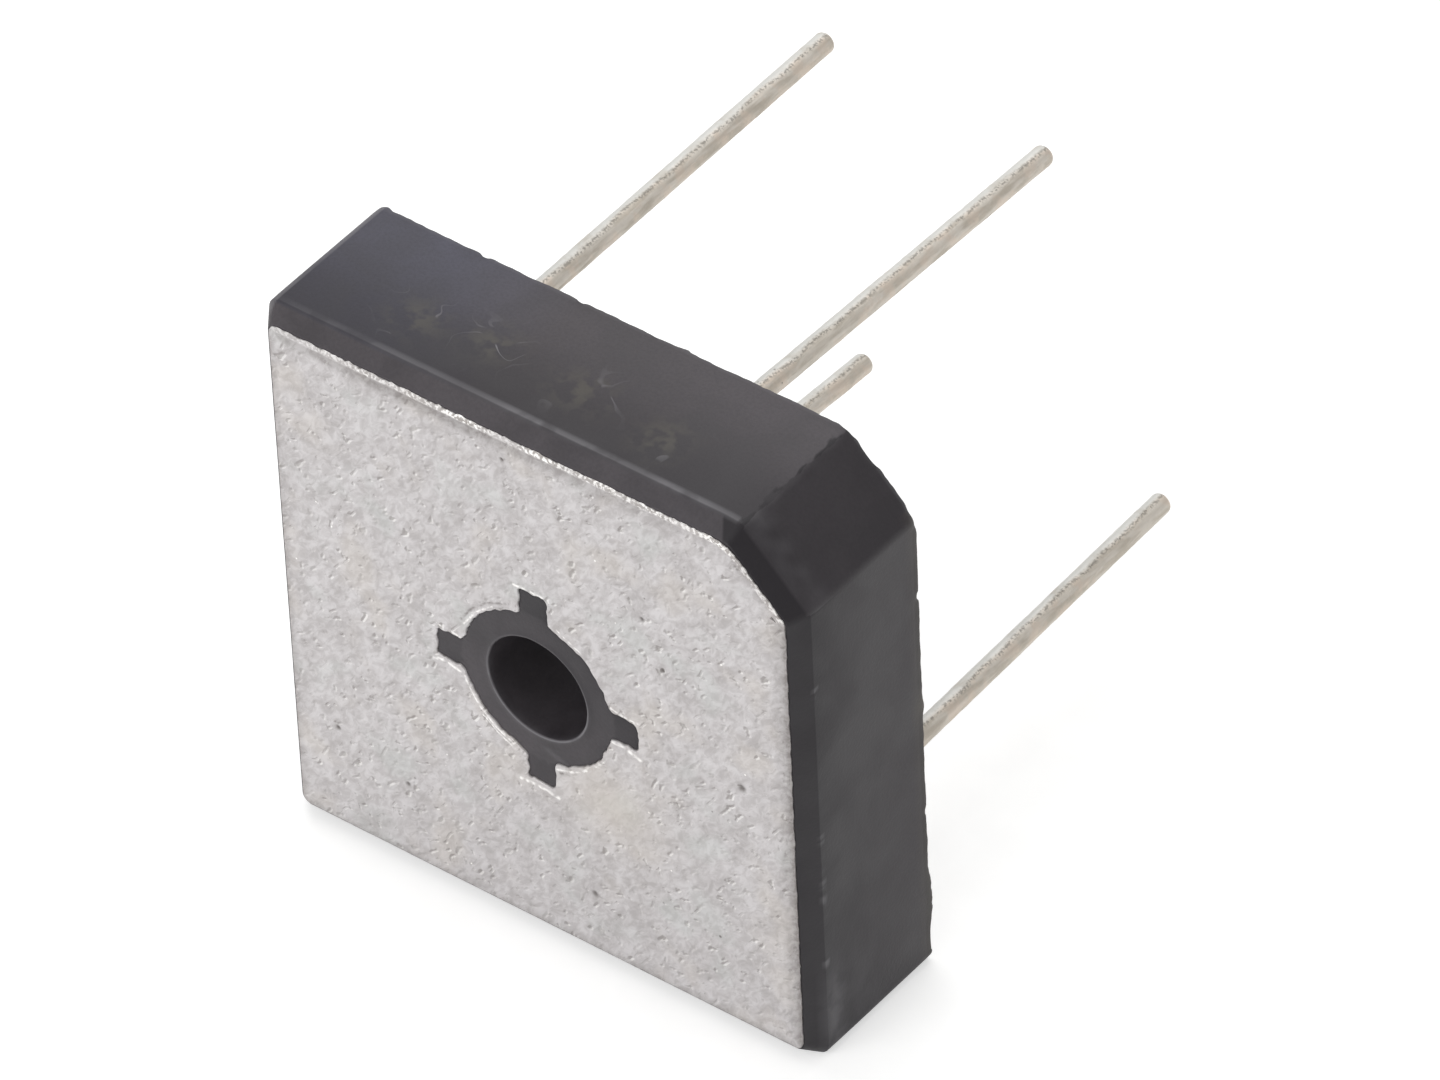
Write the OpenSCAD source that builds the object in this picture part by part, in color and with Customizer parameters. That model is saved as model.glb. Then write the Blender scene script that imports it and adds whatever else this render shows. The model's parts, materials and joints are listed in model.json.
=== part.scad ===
// Single-phase bridge rectifier in a square moulded case with round wire leads.
// The case stands on its bottom edge: the cooling plate faces -Y, the leads run
// back along +Y and +Z is up. The origin is the centre of the mounting hole on
// the plate's face. Millimetres.

/* [Case] */
// Outside width and height of the moulded case
case_w = 28.8; // [27:0.1:36]
// Thickness of the whole case, plate face to back rim
case_t = 8.3; // [7.3:0.05:12]
// Thickness of the side walls
wall_t = 1.2; // [0.9:0.05:1.5]
// Thickness of the insulating floor behind the plate
floor_t = 0.6; // [0.4:0.05:1]
// Rounding of the upright edges
corner_r = 0.65; // [0.65:0.05:1.3]
// Leg of the cut corner that marks the positive lead
key_cut = 3.35; // [2.5:0.05:4.5]
// Depth of the sloped band round the plate
bevel_d = 0.97; // [0.5:0.01:1.4]
// How far the sloped band leans in at the front
bevel_in = 0.6; // [0.1:0.05:0.6]
// Width of the moulded lip round the plate's face
lip_w = 0.1; // [0.05:0.01:0.3]
// How far the plate's face stands out of the lip and of the sleeve
face_step = 0.1; // [0:0.05:0.3]
// Depth of the potting's surface below the back rim
fill_gap = 0.2; // [0.1:0.05:0.8]

/* [Cooling plate] */
// Thickness of the cooling plate
plate_t = 1.5; // [1.45:0.05:2]
// Rounding of the plate's square corners
plate_r = 0.45; // [0.1:0.05:0.8]
// Rounding of the plate where its cut corner leaves the top edge
plate_soft_r = 2.2; // [0.5:0.1:3]

/* [Mounting hole] */
// Diameter of the screw hole
bore_d = 5.3; // [4.2:0.1:5.8]
// Outside diameter of the moulded sleeve that lines the hole
sleeve_d = 8; // [7:0.1:9]
// Width of the four keys that lock the sleeve in the plate
key_w = 1.5; // [1:0.1:2.5]
// Distance from tip to tip of two opposite keys
key_span = 10.8; // [9.8:0.1:12]
// Rounding where a key meets the sleeve
key_r = 0.35; // [0.1:0.05:0.4]
// Chamfer at both mouths of the screw hole
mouth_c = 0.12; // [0.05:0.01:0.3]

/* [Circuit] */
// Pitch of the leads, and of the frames that carry them
lead_pitch = 18.1; // [15:0.1:18.6]
// Distance of the positive lead from its neighbour on the same side
plus_pitch = 11.6; // [9.6:0.1:13]
// Width of a stamped copper frame
frame_w = 4.6; // [4:0.1:5]
// Thickness of a stamped copper frame
frame_t = 0.8; // [0.5:0.05:1]
// Clear distance between one lead's head and the next frame
creep_gap = 1.05; // [0.6:0.05:1.2]
// Leg of the trimmed outer corner of a frame
frame_cut = 1.65; // [0.5:0.05:2]
// Rounding of the frame corners
frame_r = 0.5; // [0.2:0.05:0.8]
// Width of a square diode die
die_w = 4.2; // [3:0.1:4.4]
// Thickness of a diode die
die_t = 0.3; // [0.2:0.01:0.4]
// Height of the raised anode side of a die
mesa_t = 0.08; // [0.04:0.01:0.12]
// Step round the raised anode side of a die
mesa_in = 0.25; // [0.1:0.05:0.5]
// Thickness of a solder layer
solder_t = 0.1; // [0.05:0.01:0.15]

/* [Leads] */
// Diameter of a lead
lead_d = 1; // [0.8:0.05:1.3]
// Length of a lead beyond the back rim
lead_len = 24.65; // [12:0.05:32]
// Diameter of the flat head of a lead
head_d = 2.2; // [1.8:0.1:2.8]
// Thickness of the flat head of a lead
head_t = 0.5; // [0.3:0.05:0.8]
// Chamfer at the cut end of a lead
tip_c = 0.12; // [0.05:0.01:0.2]
// How far the positive lead's tip stands out of square, right and up
plus_lean = [0.3, -0.5]; // [-1.5:0.05:1.5]
// How far the left AC lead's tip stands out of square, right and up
ac_left_lean = [0, 0.25]; // [-1.5:0.05:1.5]
// How far the negative lead's tip stands out of square, right and up
minus_lean = [1.5, 0.5]; // [-1.5:0.05:1.5]
// How far the right AC lead's tip stands out of square, right and up
ac_right_lean = [-0.2, 0.55]; // [-1.5:0.05:1.5]

/* [Hidden] */
$fn = 64;

// The circuit is a pinwheel of four equal quarters. Quarter 0 carries the positive
// lead, 1 the left AC lead, 2 the negative lead and 3 the right AC lead.
POSITIVE = 0;
AC_LEFT = 1;
NEGATIVE = 2;
AC_RIGHT = 3;

// Margin by which a cutting shape stands proud of the face that it opens
proud = 1;

// Depths are measured back from the plate's face
floor_d = plate_t + floor_t;
fill_d = case_t - fill_gap;
die_d = floor_d + frame_t + solder_t;
upper_d = die_d + die_t + solder_t;
tip_d = case_t + lead_len;

lead_r = lead_d / 2;
head_r = head_d / 2;
sleeve_r = sleeve_d / 2;
half_pitch = lead_pitch / 2;
die_step = frame_w / 2 + head_r + creep_gap;
leans = [plus_lean, ac_left_lean, minus_lean, ac_right_lean];

// Height of the resin's rise round a lead, and width of the cone that makes it
meniscus_h = 0.2;
meniscus_w = 0.3;

// Width of the solder's rise round a lead's head
fillet_w = 0.4;

silver = [0.78, 0.77, 0.76];
epoxy = [0.3, 0.29, 0.3];
resin = [0.2, 0.2, 0.21];
copper = [0.72, 0.45, 0.3];
silicon = [0.38, 0.4, 0.46];
solder = [0.66, 0.67, 0.69];
tinned = [0.71, 0.67, 0.61];

// ---- Placing ----

// Stands the part up: what is drawn plate side up comes to face -Y.
module upright() rotate([90, 0, 0]) children();

// Extrudes an outline between two depths.
module slab(d0, d1) translate([0, 0, -d1]) linear_extrude(d1 - d0) children();

// Round post or cone at a point, between two depths.
module post(at, d0, d1, r0, r1) translate([at[0], at[1], -d1]) cylinder(h = d1 - d0, r1 = r1, r2 = r0);

// Turns a quarter's drawing to its own side of the screw hole.
module quarter(k) rotate([0, 0, 90 * k]) children();

function turned(p, k) =
    [p[0] * cos(90 * k) - p[1] * sin(90 * k), p[0] * sin(90 * k) + p[1] * cos(90 * k)];

// ---- Outlines ----

// Cut left on an outline that lies a distance t inside one with the given cut.
function inset_cut(cut, t) = cut - t * (2 - sqrt(2));

// Centres of the corner roundings of a square with its upper right corner cut off.
function corner_centres(w, cut, r) =
    let (h = w / 2 - r, k = w - cut - r * sqrt(2) - h)
    [[-h, -h], [h, -h], [h, k], [k, h], [-h, h]];

function side(c, i) = c[(i + 1) % len(c)] - c[i];

// Outward normal of the side that starts at centre i.
function normal(c, i) = let (s = side(c, i)) [s[1], -s[0]] / norm(s);

// Square with one cut corner, all corners rounded.
module cut_square(w, cut, r) {
    c = corner_centres(w, cut, r);
    n = len(c);
    polygon([for (i = [0 : n - 1]) for (j = [(i + n - 1) % n, i]) c[i] + r * normal(c, j)]);
    for (p = c) translate(p) circle(r);
}

// Slab between two depths whose sides lean in towards the front, with conical corners.
module sloped_slab(d0, d1, w, cut, r, lean_in) {
    c = corner_centres(w, cut, r);
    slab(d0, d1) polygon(c);
    for (i = [0 : len(c) - 1]) {
        s = side(c, i);
        post(c[i], d0, d1, r - lean_in, r);
        translate([c[i][0], c[i][1], 0]) rotate([90, 0, 90 + atan2(s[1], s[0])])
            linear_extrude(norm(s))
                polygon([[0, -d0], [lean_in - r, -d0], [-r, -d1], [0, -d1]]);
    }
}

// Rectangle with rounded corners, between two opposite corners.
module soft_rect(low, high, r) {
    for (x = [low[0] + r, high[0] - r], y = [low[1] + r, high[1] - r]) translate([x, y]) circle(r);
    translate([low[0] + r, low[1]]) square([high[0] - low[0] - 2 * r, high[1] - low[1]]);
    translate([low[0], low[1] + r]) square([high[0] - low[0], high[1] - low[1] - 2 * r]);
}

module centred_square(w) square([w, w], center = true);

// Hole outline in the plate: the sleeve and its four keys, with rounded roots.
module keyed_ring() {
    root = [key_w / 2 + key_r, sqrt(pow(sleeve_r + key_r, 2) - pow(key_w / 2 + key_r, 2))];
    circle(sleeve_r);
    for (k = [0 : 3]) rotate(90 * k) {
        translate([-key_w / 2, 0]) square([key_w, key_span / 2]);
        for (m = [0, 1]) mirror([m, 0]) difference() {
            polygon([[0, 0], root, [0, root[1]]]);
            translate(root) circle(key_r);
        }
    }
}

// Face of the cooling plate: a cut square whose cut leaves the top edge softly.
module plate_face() {
    lip = bevel_in + lip_w;
    cut = inset_cut(key_cut, lip);
    half = case_w / 2 - lip;
    reach = plate_soft_r * tan(22.5);
    soft = [half - cut - reach, half - plate_soft_r];
    difference() {
        cut_square(2 * half, cut, plate_r);
        difference() {
            polygon([[soft[0], half + proud], [soft[0], soft[1]],
                     soft + (plate_soft_r + proud) * [sin(45), cos(45)]]);
            translate(soft) circle(plate_soft_r);
        }
    }
}

// Inside of the case.
module cavity_outline() {
    cut_square(case_w - 2 * wall_t, inset_cut(key_cut, wall_t), corner_r / 2);
}

// ---- Case and plate ----

// Plate with its keyed hole; ahead makes it stand proud of its face, as a cutter.
module plate_blank(ahead = 0) {
    slab(-ahead, plate_t) difference() {
        plate_face();
        keyed_ring();
    }
}

module base_plate() color(silver) upright() plate_blank();

module moulded_case() color(epoxy) upright() difference() {
    union() {
        sloped_slab(face_step, bevel_d, case_w, key_cut, corner_r, bevel_in);
        slab(bevel_d, case_t) cut_square(case_w, key_cut, corner_r);
    }
    plate_blank(proud);
    slab(floor_d, case_t + proud) difference() {
        cavity_outline();
        circle(sleeve_r);
    }
    post([0, 0], -proud, case_t + proud, bore_d / 2, bore_d / 2);
    post([0, 0], face_step, face_step + mouth_c, bore_d / 2 + mouth_c, bore_d / 2);
    post([0, 0], case_t - mouth_c, case_t, bore_d / 2, bore_d / 2 + mouth_c);
}

// ---- Circuit ----

// Frames 0 and 2 lie on the floor; frames 1 and 3 lie over the dice.
function is_upper(k) = k % 2 == 1;

function frame_d(k) = is_upper(k) ? upper_d : floor_d;

// The die at the end of frame k's long arm has its anode towards the back when
// frame k is the positive one or the right AC one.
function anode_back(k) = k == POSITIVE || k == AC_RIGHT;

// Place of quarter k's die, at the end of its frame's long arm.
function die_at(k) = turned([-half_pitch + die_step, half_pitch], k);

// Place of quarter k's lead. The positive one is shifted along its frame.
function lead_at(k) = turned([k == POSITIVE ? plus_pitch - half_pitch : half_pitch, half_pitch], k);

// Stamped elbow: its long arm ends over or under its own quarter's die, and its
// short arm reaches the die of the quarter before.
module frame_blank(k) {
    out = half_pitch + frame_w / 2;
    in = half_pitch - frame_w / 2;
    long_end = -half_pitch + die_step - frame_w / 2;
    short_end = half_pitch - die_step - frame_w / 2;
    quarter(k) slab(frame_d(k), frame_d(k) + frame_t) difference() {
        union() {
            soft_rect([long_end, in], [out, out], frame_r);
            soft_rect([in, short_end], [out, out], frame_r);
        }
        polygon([[out - frame_cut, out], [out + proud, out - frame_cut - proud],
                 [out + proud, out + proud], [out - frame_cut, out + proud]]);
    }
}

module frame(k) color(copper) upright() frame_blank(k);

// Square layer at quarter k's die.
module die_layer(k, d0, d1, w) slab(d0, d1) translate(die_at(k)) centred_square(w);

// Die with a raised, stepped anode side.
module die_blank(k) {
    step_d = anode_back(k) ? die_d + die_t - mesa_t : die_d + mesa_t;
    mesa_w = die_w - 2 * mesa_in;
    die_layer(k, die_d, step_d, anode_back(k) ? die_w : mesa_w);
    die_layer(k, step_d, die_d + die_t, anode_back(k) ? mesa_w : die_w);
}

module die(k) color(silicon) upright() die_blank(k);

// Solder layer on one side of a die: as wide as the die's contact there.
module die_solder_blank(k, back) {
    d = back ? die_d + die_t : die_d - solder_t;
    die_layer(k, d, d + solder_t, back == anode_back(k) ? die_w - 2 * mesa_in : die_w);
}

module die_solder(k, back) color(solder) upright() die_solder_blank(k, back);

// ---- Leads ----

function seat_d(k) = frame_d(k) + frame_t + solder_t;

// Free length of lead k as it runs from the bend at the potting to its tip.
function free_run(k) = [leans[k][0], leans[k][1], fill_d - tip_d];

// Angle of lead k's bend.
function bend(k) = atan2(norm(leans[k]), tip_d - fill_d);

// Turns a drawing at lead k's bend by a share of the bend, to point away from the plate.
module along_lead(k, share)
    translate([lead_at(k)[0], lead_at(k)[1], -fill_d])
        rotate([0, 180 - share * bend(k), atan2(leans[k][1], leans[k][0])]) children();

// Round wire with an upset head. It stands square in the potting, is bent a little
// where it comes out, and both straight lengths meet in the bend's own plane.
module lead_blank(k) {
    post(lead_at(k), seat_d(k), seat_d(k) + head_t, head_r, head_r);
    difference() {
        post(lead_at(k), seat_d(k) + head_t / 2, fill_d + lead_r, lead_r, lead_r);
        along_lead(k, 1 / 2) translate([0, 0, lead_d]) cube(2 * lead_d, center = true);
    }
    difference() {
        along_lead(k, 1) {
            length = norm(free_run(k));
            translate([0, 0, -lead_r]) cylinder(h = length - tip_c + lead_r, r = lead_r);
            translate([0, 0, length - tip_c]) cylinder(h = tip_c, r1 = lead_r, r2 = lead_r - tip_c);
        }
        along_lead(k, 1 / 2) translate([0, 0, -lead_d]) cube(2 * lead_d, center = true);
    }
}

module lead(k) color(tinned) upright() lead_blank(k);

// Solder under a lead's head, drawn up round its edge.
module lead_solder_blank(k) difference() {
    post(lead_at(k), seat_d(k) - solder_t, seat_d(k) + head_t / 2, head_r + fillet_w, head_r + fillet_w / 4);
    post(lead_at(k), seat_d(k), seat_d(k) + head_t, head_r, head_r);
}

module lead_solder(k) color(solder) upright() lead_solder_blank(k);

// ---- Potting ----

// Resin round everything inside the case, drawn up a little round each lead.
module potting() color(resin) upright() difference() {
    union() {
        slab(floor_d, fill_d) difference() {
            cavity_outline();
            circle(sleeve_r);
        }
        for (k = [0 : 3])
            post(lead_at(k), fill_d - meniscus_h, fill_d + meniscus_h, lead_r + meniscus_w,
                 lead_r + meniscus_w / 4);
    }
    for (k = [0 : 3]) {
        frame_blank(k);
        die_blank(k);
        die_solder_blank(k, false);
        die_solder_blank(k, true);
        lead_solder_blank(k);
        lead_blank(k);
    }
}

base_plate();
moulded_case();
potting();
frame(POSITIVE);  // positive_frame
frame(AC_LEFT);  // ac_frame_left
frame(NEGATIVE);  // negative_frame
frame(AC_RIGHT);  // ac_frame_right
die(POSITIVE);  // die_1
die(AC_LEFT);  // die_2
die(NEGATIVE);  // die_3
die(AC_RIGHT);  // die_4
die_solder(POSITIVE, false);  // solder_front_1
die_solder(AC_LEFT, false);  // solder_front_2
die_solder(NEGATIVE, false);  // solder_front_3
die_solder(AC_RIGHT, false);  // solder_front_4
die_solder(POSITIVE, true);  // solder_back_1
die_solder(AC_LEFT, true);  // solder_back_2
die_solder(NEGATIVE, true);  // solder_back_3
die_solder(AC_RIGHT, true);  // solder_back_4
lead_solder(POSITIVE);  // lead_solder_positive
lead_solder(AC_LEFT);  // lead_solder_ac_left
lead_solder(NEGATIVE);  // lead_solder_negative
lead_solder(AC_RIGHT);  // lead_solder_ac_right
lead(POSITIVE);  // positive_lead
lead(AC_LEFT);  // ac_lead_left
lead(NEGATIVE);  // negative_lead
lead(AC_RIGHT);  // ac_lead_right
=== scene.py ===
"""Looks of a square moulded bridge rectifier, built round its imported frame.

The case stands on its bottom edge: the cooling plate faces -Y, the wire leads run back
along +Y, and +Z is up. Lengths are in metres, and depths are measured along +Y from the
plate's face.
"""

import json
import logging
import math
from collections.abc import Callable, Iterable, Sequence
from dataclasses import dataclass
from enum import Enum
from typing import ClassVar

import bmesh
import bpy
import numpy as np
from mathutils import Matrix, Vector, noise
from mathutils.geometry import delaunay_2d_cdt

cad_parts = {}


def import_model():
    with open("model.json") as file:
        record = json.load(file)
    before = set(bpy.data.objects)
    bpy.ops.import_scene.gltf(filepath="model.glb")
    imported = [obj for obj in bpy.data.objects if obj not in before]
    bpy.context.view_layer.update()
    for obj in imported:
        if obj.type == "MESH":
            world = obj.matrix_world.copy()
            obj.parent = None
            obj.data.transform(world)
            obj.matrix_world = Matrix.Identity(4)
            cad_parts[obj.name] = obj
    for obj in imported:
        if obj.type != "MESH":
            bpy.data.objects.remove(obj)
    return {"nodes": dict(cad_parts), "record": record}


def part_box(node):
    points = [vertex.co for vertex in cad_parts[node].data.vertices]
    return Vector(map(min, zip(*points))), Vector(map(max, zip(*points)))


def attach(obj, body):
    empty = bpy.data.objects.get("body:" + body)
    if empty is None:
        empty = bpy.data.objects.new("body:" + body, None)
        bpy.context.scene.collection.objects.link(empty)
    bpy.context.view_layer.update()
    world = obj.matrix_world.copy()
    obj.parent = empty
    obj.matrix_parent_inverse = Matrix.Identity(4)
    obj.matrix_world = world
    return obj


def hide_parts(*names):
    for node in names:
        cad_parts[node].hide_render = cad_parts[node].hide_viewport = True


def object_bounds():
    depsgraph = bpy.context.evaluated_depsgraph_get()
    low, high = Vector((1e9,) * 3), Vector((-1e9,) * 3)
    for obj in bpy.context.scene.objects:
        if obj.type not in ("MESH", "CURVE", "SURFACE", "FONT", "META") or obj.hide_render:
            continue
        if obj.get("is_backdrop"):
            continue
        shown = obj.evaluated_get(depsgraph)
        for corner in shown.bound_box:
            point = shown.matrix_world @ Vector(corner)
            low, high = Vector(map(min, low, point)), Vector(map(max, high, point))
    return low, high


LOG = logging.getLogger("rectifier")
MM = 0.001
BODY = "root"
QUARTER = math.pi / 2
WHITE = (1.0, 1.0, 1.0, 1.0)
AIM = (3.769 * MM, 8.214 * MM, 4.488 * MM)
Array = np.ndarray
Socket = bpy.types.NodeSocket
Material = bpy.types.Material
Object = bpy.types.Object
Pairs = tuple[tuple[float, float], ...]
ONLY_EDGES = 0
SAME_SPOT = 1e-9

# ---- Outlines ----


@dataclass(frozen=True)
class Outline:
    """A closed line in the plate's plane, drawn anticlockwise.

    Args:
        points: one row of x and z for each point.
        normals: the outward unit normal at each point.
    """

    points: Array
    normals: Array

    def moved(self, out: float | Array) -> Array:
        """Points of the line when it is pushed outwards.

        Args:
            out: distance, one for all points or one for each.

        Returns:
            One row of x and z for each point.
        """
        return self.points + np.broadcast_to(out, len(self.points))[:, None] * self.normals

    def ring(self, depth: float | Array, out: float | Array = 0.0) -> Array:
        """Stands the line up at a depth.

        Args:
            depth: distance behind the plate's face, one for all points or one for each.
            out: how far the line is pushed outwards.

        Returns:
            One row of x, y and z for each point.
        """
        flat = self.moved(out)
        return np.column_stack([flat[:, 0], np.broadcast_to(depth, len(flat)), flat[:, 1]])

    def turned(self, angle: float) -> "Outline":
        """The same line turned anticlockwise about the screw hole."""
        turn = np.array([[math.cos(angle), math.sin(angle)], [-math.sin(angle), math.cos(angle)]])
        return Outline(self.points @ turn, self.normals @ turn)


class Pen:
    """Draws a line from arcs and straights, each without its own last point."""

    def __init__(self) -> None:
        """Starts with nothing drawn."""
        self.points: list[Array] = []
        self.normals: list[Array] = []

    def arc(self, centre: Sequence[float], radius: float, start: float, end: float, steps: int) -> None:
        """Draws a round stretch.

        Args:
            centre: its middle.
            radius: its radius, negative where the line is hollow.
            start: direction of the outward normal at its start.
            end: direction of the outward normal at its end.
            steps: number of points.
        """
        for angle in np.linspace(start, end, steps, endpoint=False):
            normal = np.array([math.cos(angle), math.sin(angle)])
            self.points.append(np.asarray(centre) + radius * normal)
            self.normals.append(normal)

    def line(self, start: Array, end: Array, steps: int) -> None:
        """Draws a straight stretch.

        Args:
            start: its first point.
            end: its last point, which isn't drawn.
            steps: number of points.
        """
        along = (end - start) / np.linalg.norm(end - start)
        for share in np.linspace(0, 1, steps, endpoint=False):
            self.points.append(start + share * (end - start))
            self.normals.append(np.array([along[1], -along[0]]))

    def outline(self) -> Outline:
        """The closed line drawn so far."""
        return Outline(np.array(self.points), np.array(self.normals))


def circle(radius: float, steps: int) -> Outline:
    """Round outline about the screw hole.

    Args:
        radius: its radius.
        steps: number of points.

    Returns:
        The outline.
    """
    pen = Pen()
    pen.arc((0, 0), radius, 0, math.tau, steps)
    return pen.outline()


@dataclass(frozen=True)
class Rounding:
    """One rounded corner of a line: its arc, as a pen draws it, and its first and last point."""

    centre: Array
    radius: float
    start: float
    end: float
    arrive: Array
    leave: Array


def rounded(last: Array, spot: Array, following: Array, radius: float) -> Rounding:
    """Rounds one corner.

    Args:
        last: the corner before it.
        spot: the corner.
        following: the corner after it.
        radius: radius of the rounding.

    Returns:
        The rounding.
    """
    before, after = spot - last, following - spot
    before, after = before / np.linalg.norm(before), after / np.linalg.norm(after)
    turn = math.atan2(before[0] * after[1] - before[1] * after[0], before @ after)
    signed = math.copysign(radius, turn)
    reach = radius * math.tan(abs(turn) / 2)
    start = math.atan2(-before[0], before[1])
    centre = spot - reach * before - signed * np.array([math.cos(start), math.sin(start)])
    return Rounding(centre, signed, start, start + turn, spot - reach * before, spot + reach * after)


def softened(
    corners: Sequence[tuple[float, float, float]],
    side_steps: Sequence[int],
    turn_steps: int,
    closed: bool = True,
) -> Outline:
    """Rounds the corners of a polygon or of an open line.

    Args:
        corners: two coordinates and a rounding radius for each corner.
        side_steps: number of points on the straight that follows each corner.
        turn_steps: number of points on each rounding.
        closed: whether the last corner joins the first.

    Returns:
        The line, with normals on its right-hand side.
    """
    pen = Pen()
    spots = [np.array(c[:2]) for c in corners]
    count = len(spots)
    turns: list[Rounding | None] = []
    for i, corner in enumerate(corners):
        is_end = not closed and i in (0, count - 1)
        following = spots[(i + 1) % count]
        turns.append(None if is_end else rounded(spots[i - 1], spots[i], following, corner[2]))
    for i, (spot, turn) in enumerate(zip(spots, turns)):
        if turn is not None:
            pen.arc(turn.centre, turn.radius, turn.start, turn.end, turn_steps)
        if closed or i < count - 1:
            next_turn = turns[(i + 1) % count]
            leave = spot if turn is None else turn.leave
            arrive = spots[(i + 1) % count] if next_turn is None else next_turn.arrive
            pen.line(leave, arrive, side_steps[i])
    if not closed:
        pen.points.append(spots[-1])
        pen.normals.append(pen.normals[-1])
    return pen.outline()


@dataclass(frozen=True)
class CutSquare:
    """Square about the screw hole whose upper right corner is cut off.

    Args:
        width: side of the whole square.
        cut: leg of the cut corner.
        radius: rounding of the corners.
        soft_radius: rounding where the cut leaves the top edge, if it is another one.
    """

    width: float
    cut: float
    radius: float
    soft_radius: float | None = None

    def steps(self, gap: float) -> list[int]:
        """Number of points for each straight side when they lie a gap apart."""
        long, short = self.width, self.width - self.cut
        return [max(2, round(side / gap)) for side in (long, short, self.cut * math.sqrt(2), short, long)]

    def outline(self, side_steps: Sequence[int], turn_steps: int) -> Outline:
        """Draws the square.

        Args:
            side_steps: number of points on each straight side, bottom first.
            turn_steps: number of points on each rounding.

        Returns:
            The closed line, which starts at the lower left corner.
        """
        h, r = self.width / 2, self.radius
        soft = self.soft_radius or r
        corners = [(-h, -h, r), (h, -h, r), (h, h - self.cut, r), (h - self.cut, h, soft), (-h, h, r)]
        return softened(corners, side_steps, turn_steps)


@dataclass(frozen=True)
class KeyedRing:
    """The moulded sleeve's outline in the plate: a ring with four keys.

    Args:
        radius: radius of the ring.
        key_width: width of a key.
        key_span: distance from tip to tip of two opposite keys.
        root_radius: rounding where a key meets the ring.
        tip_radius: rounding of a key's corners.
    """

    radius: float
    key_width: float
    key_span: float
    root_radius: float
    tip_radius: float

    def outline(self, arc_steps: int, side_steps: int, turn_steps: int) -> Outline:
        """Draws the ring.

        Args:
            arc_steps: number of points on the ring between two keys.
            side_steps: number of points on each straight side of a key.
            turn_steps: number of points on each rounding.

        Returns:
            The closed line, which starts at the root of the right key.
        """
        half, tip, rc, rf = self.key_width / 2, self.key_span / 2, self.tip_radius, self.root_radius
        root = np.array([math.sqrt((self.radius + rf) ** 2 - (half + rf) ** 2), half + rf])
        lean = math.atan2(root[1], root[0])
        low = np.array([1, -1])
        pen = Pen()
        pen.arc(root * low, -rf, -lean, -QUARTER, turn_steps)
        pen.line(np.array([root[0], -half]), np.array([tip - rc, -half]), side_steps)
        pen.arc((tip - rc, rc - half), rc, -QUARTER, 0, turn_steps)
        pen.line(np.array([tip, rc - half]), np.array([tip, half - rc]), side_steps)
        pen.arc((tip - rc, half - rc), rc, 0, QUARTER, turn_steps)
        pen.line(np.array([tip - rc, half]), np.array([root[0], half]), side_steps)
        pen.arc(root, -rf, QUARTER, lean, turn_steps)
        pen.arc((0, 0), self.radius, lean, QUARTER - lean, arc_steps)
        quarter = pen.outline()
        turns = [quarter.turned(k * QUARTER) for k in range(4)]
        return Outline(
            np.concatenate([t.points for t in turns]), np.concatenate([t.normals for t in turns])
        )


# ---- Meshes ----


def ripple(points: Array, size: float, seed: float) -> Array:
    """Soft random heights in space.

    Args:
        points: one row of x, y and z for each place.
        size: distance between neighbouring bumps.
        seed: moves the pattern, so that two ripples differ.

    Returns:
        One value from about -1 to 1 for each place.
    """
    shift = Vector((seed, 1.7 * seed, -0.6 * seed))
    return np.array([noise.noise(Vector(p) / size + shift) for p in points])


def standing(spots: Array) -> Array:
    """Places in the plate's plane, given as x and z, as points in space."""
    return np.column_stack([spots[:, 0], np.zeros(len(spots)), spots[:, 1]])


def hill(values: Array | float, middle: float, width: float, power: float = 2.0) -> Array:
    """Smooth bump along a line of values.

    Args:
        values: where the bump is read.
        middle: where it is highest.
        width: how far from there it has fallen to about a third.
        power: 2 for a soft bell, and more for a flatter top.

    Returns:
        Its height at each value, from 0 to 1.
    """
    return np.exp(-(np.abs((values - middle) / width) ** power))


def inside(points: Array, loop: Array) -> Array:
    """Tells which points lie inside a closed line.

    Args:
        points: one row of x and z for each point.
        loop: the line's own points.

    Returns:
        True or False for each point.
    """
    start, end = loop, np.roll(loop, -1, axis=0)
    hit = np.zeros(len(points), bool)
    for (x0, z0), (x1, z1) in zip(start, end):
        if z0 != z1:
            crosses = (z0 > points[:, 1]) != (z1 > points[:, 1])
            hit ^= crosses & (points[:, 0] < (x1 - x0) * (points[:, 1] - z0) / (z1 - z0) + x0)
    return hit


def scattered(low: float, high: float, gap: float, seed: int) -> Array:
    """Points of a square grid, each moved a little so that no rows show.

    Args:
        low: lowest x and z.
        high: highest x and z.
        gap: spacing of the grid.
        seed: starts the random draws.

    Returns:
        One row of x and z for each point.
    """
    line = np.arange(low, high, gap)
    grid = np.stack(np.meshgrid(line, line), axis=-1).reshape(-1, 2)
    return grid + np.random.default_rng(seed).uniform(-0.3, 0.3, grid.shape) * gap


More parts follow.
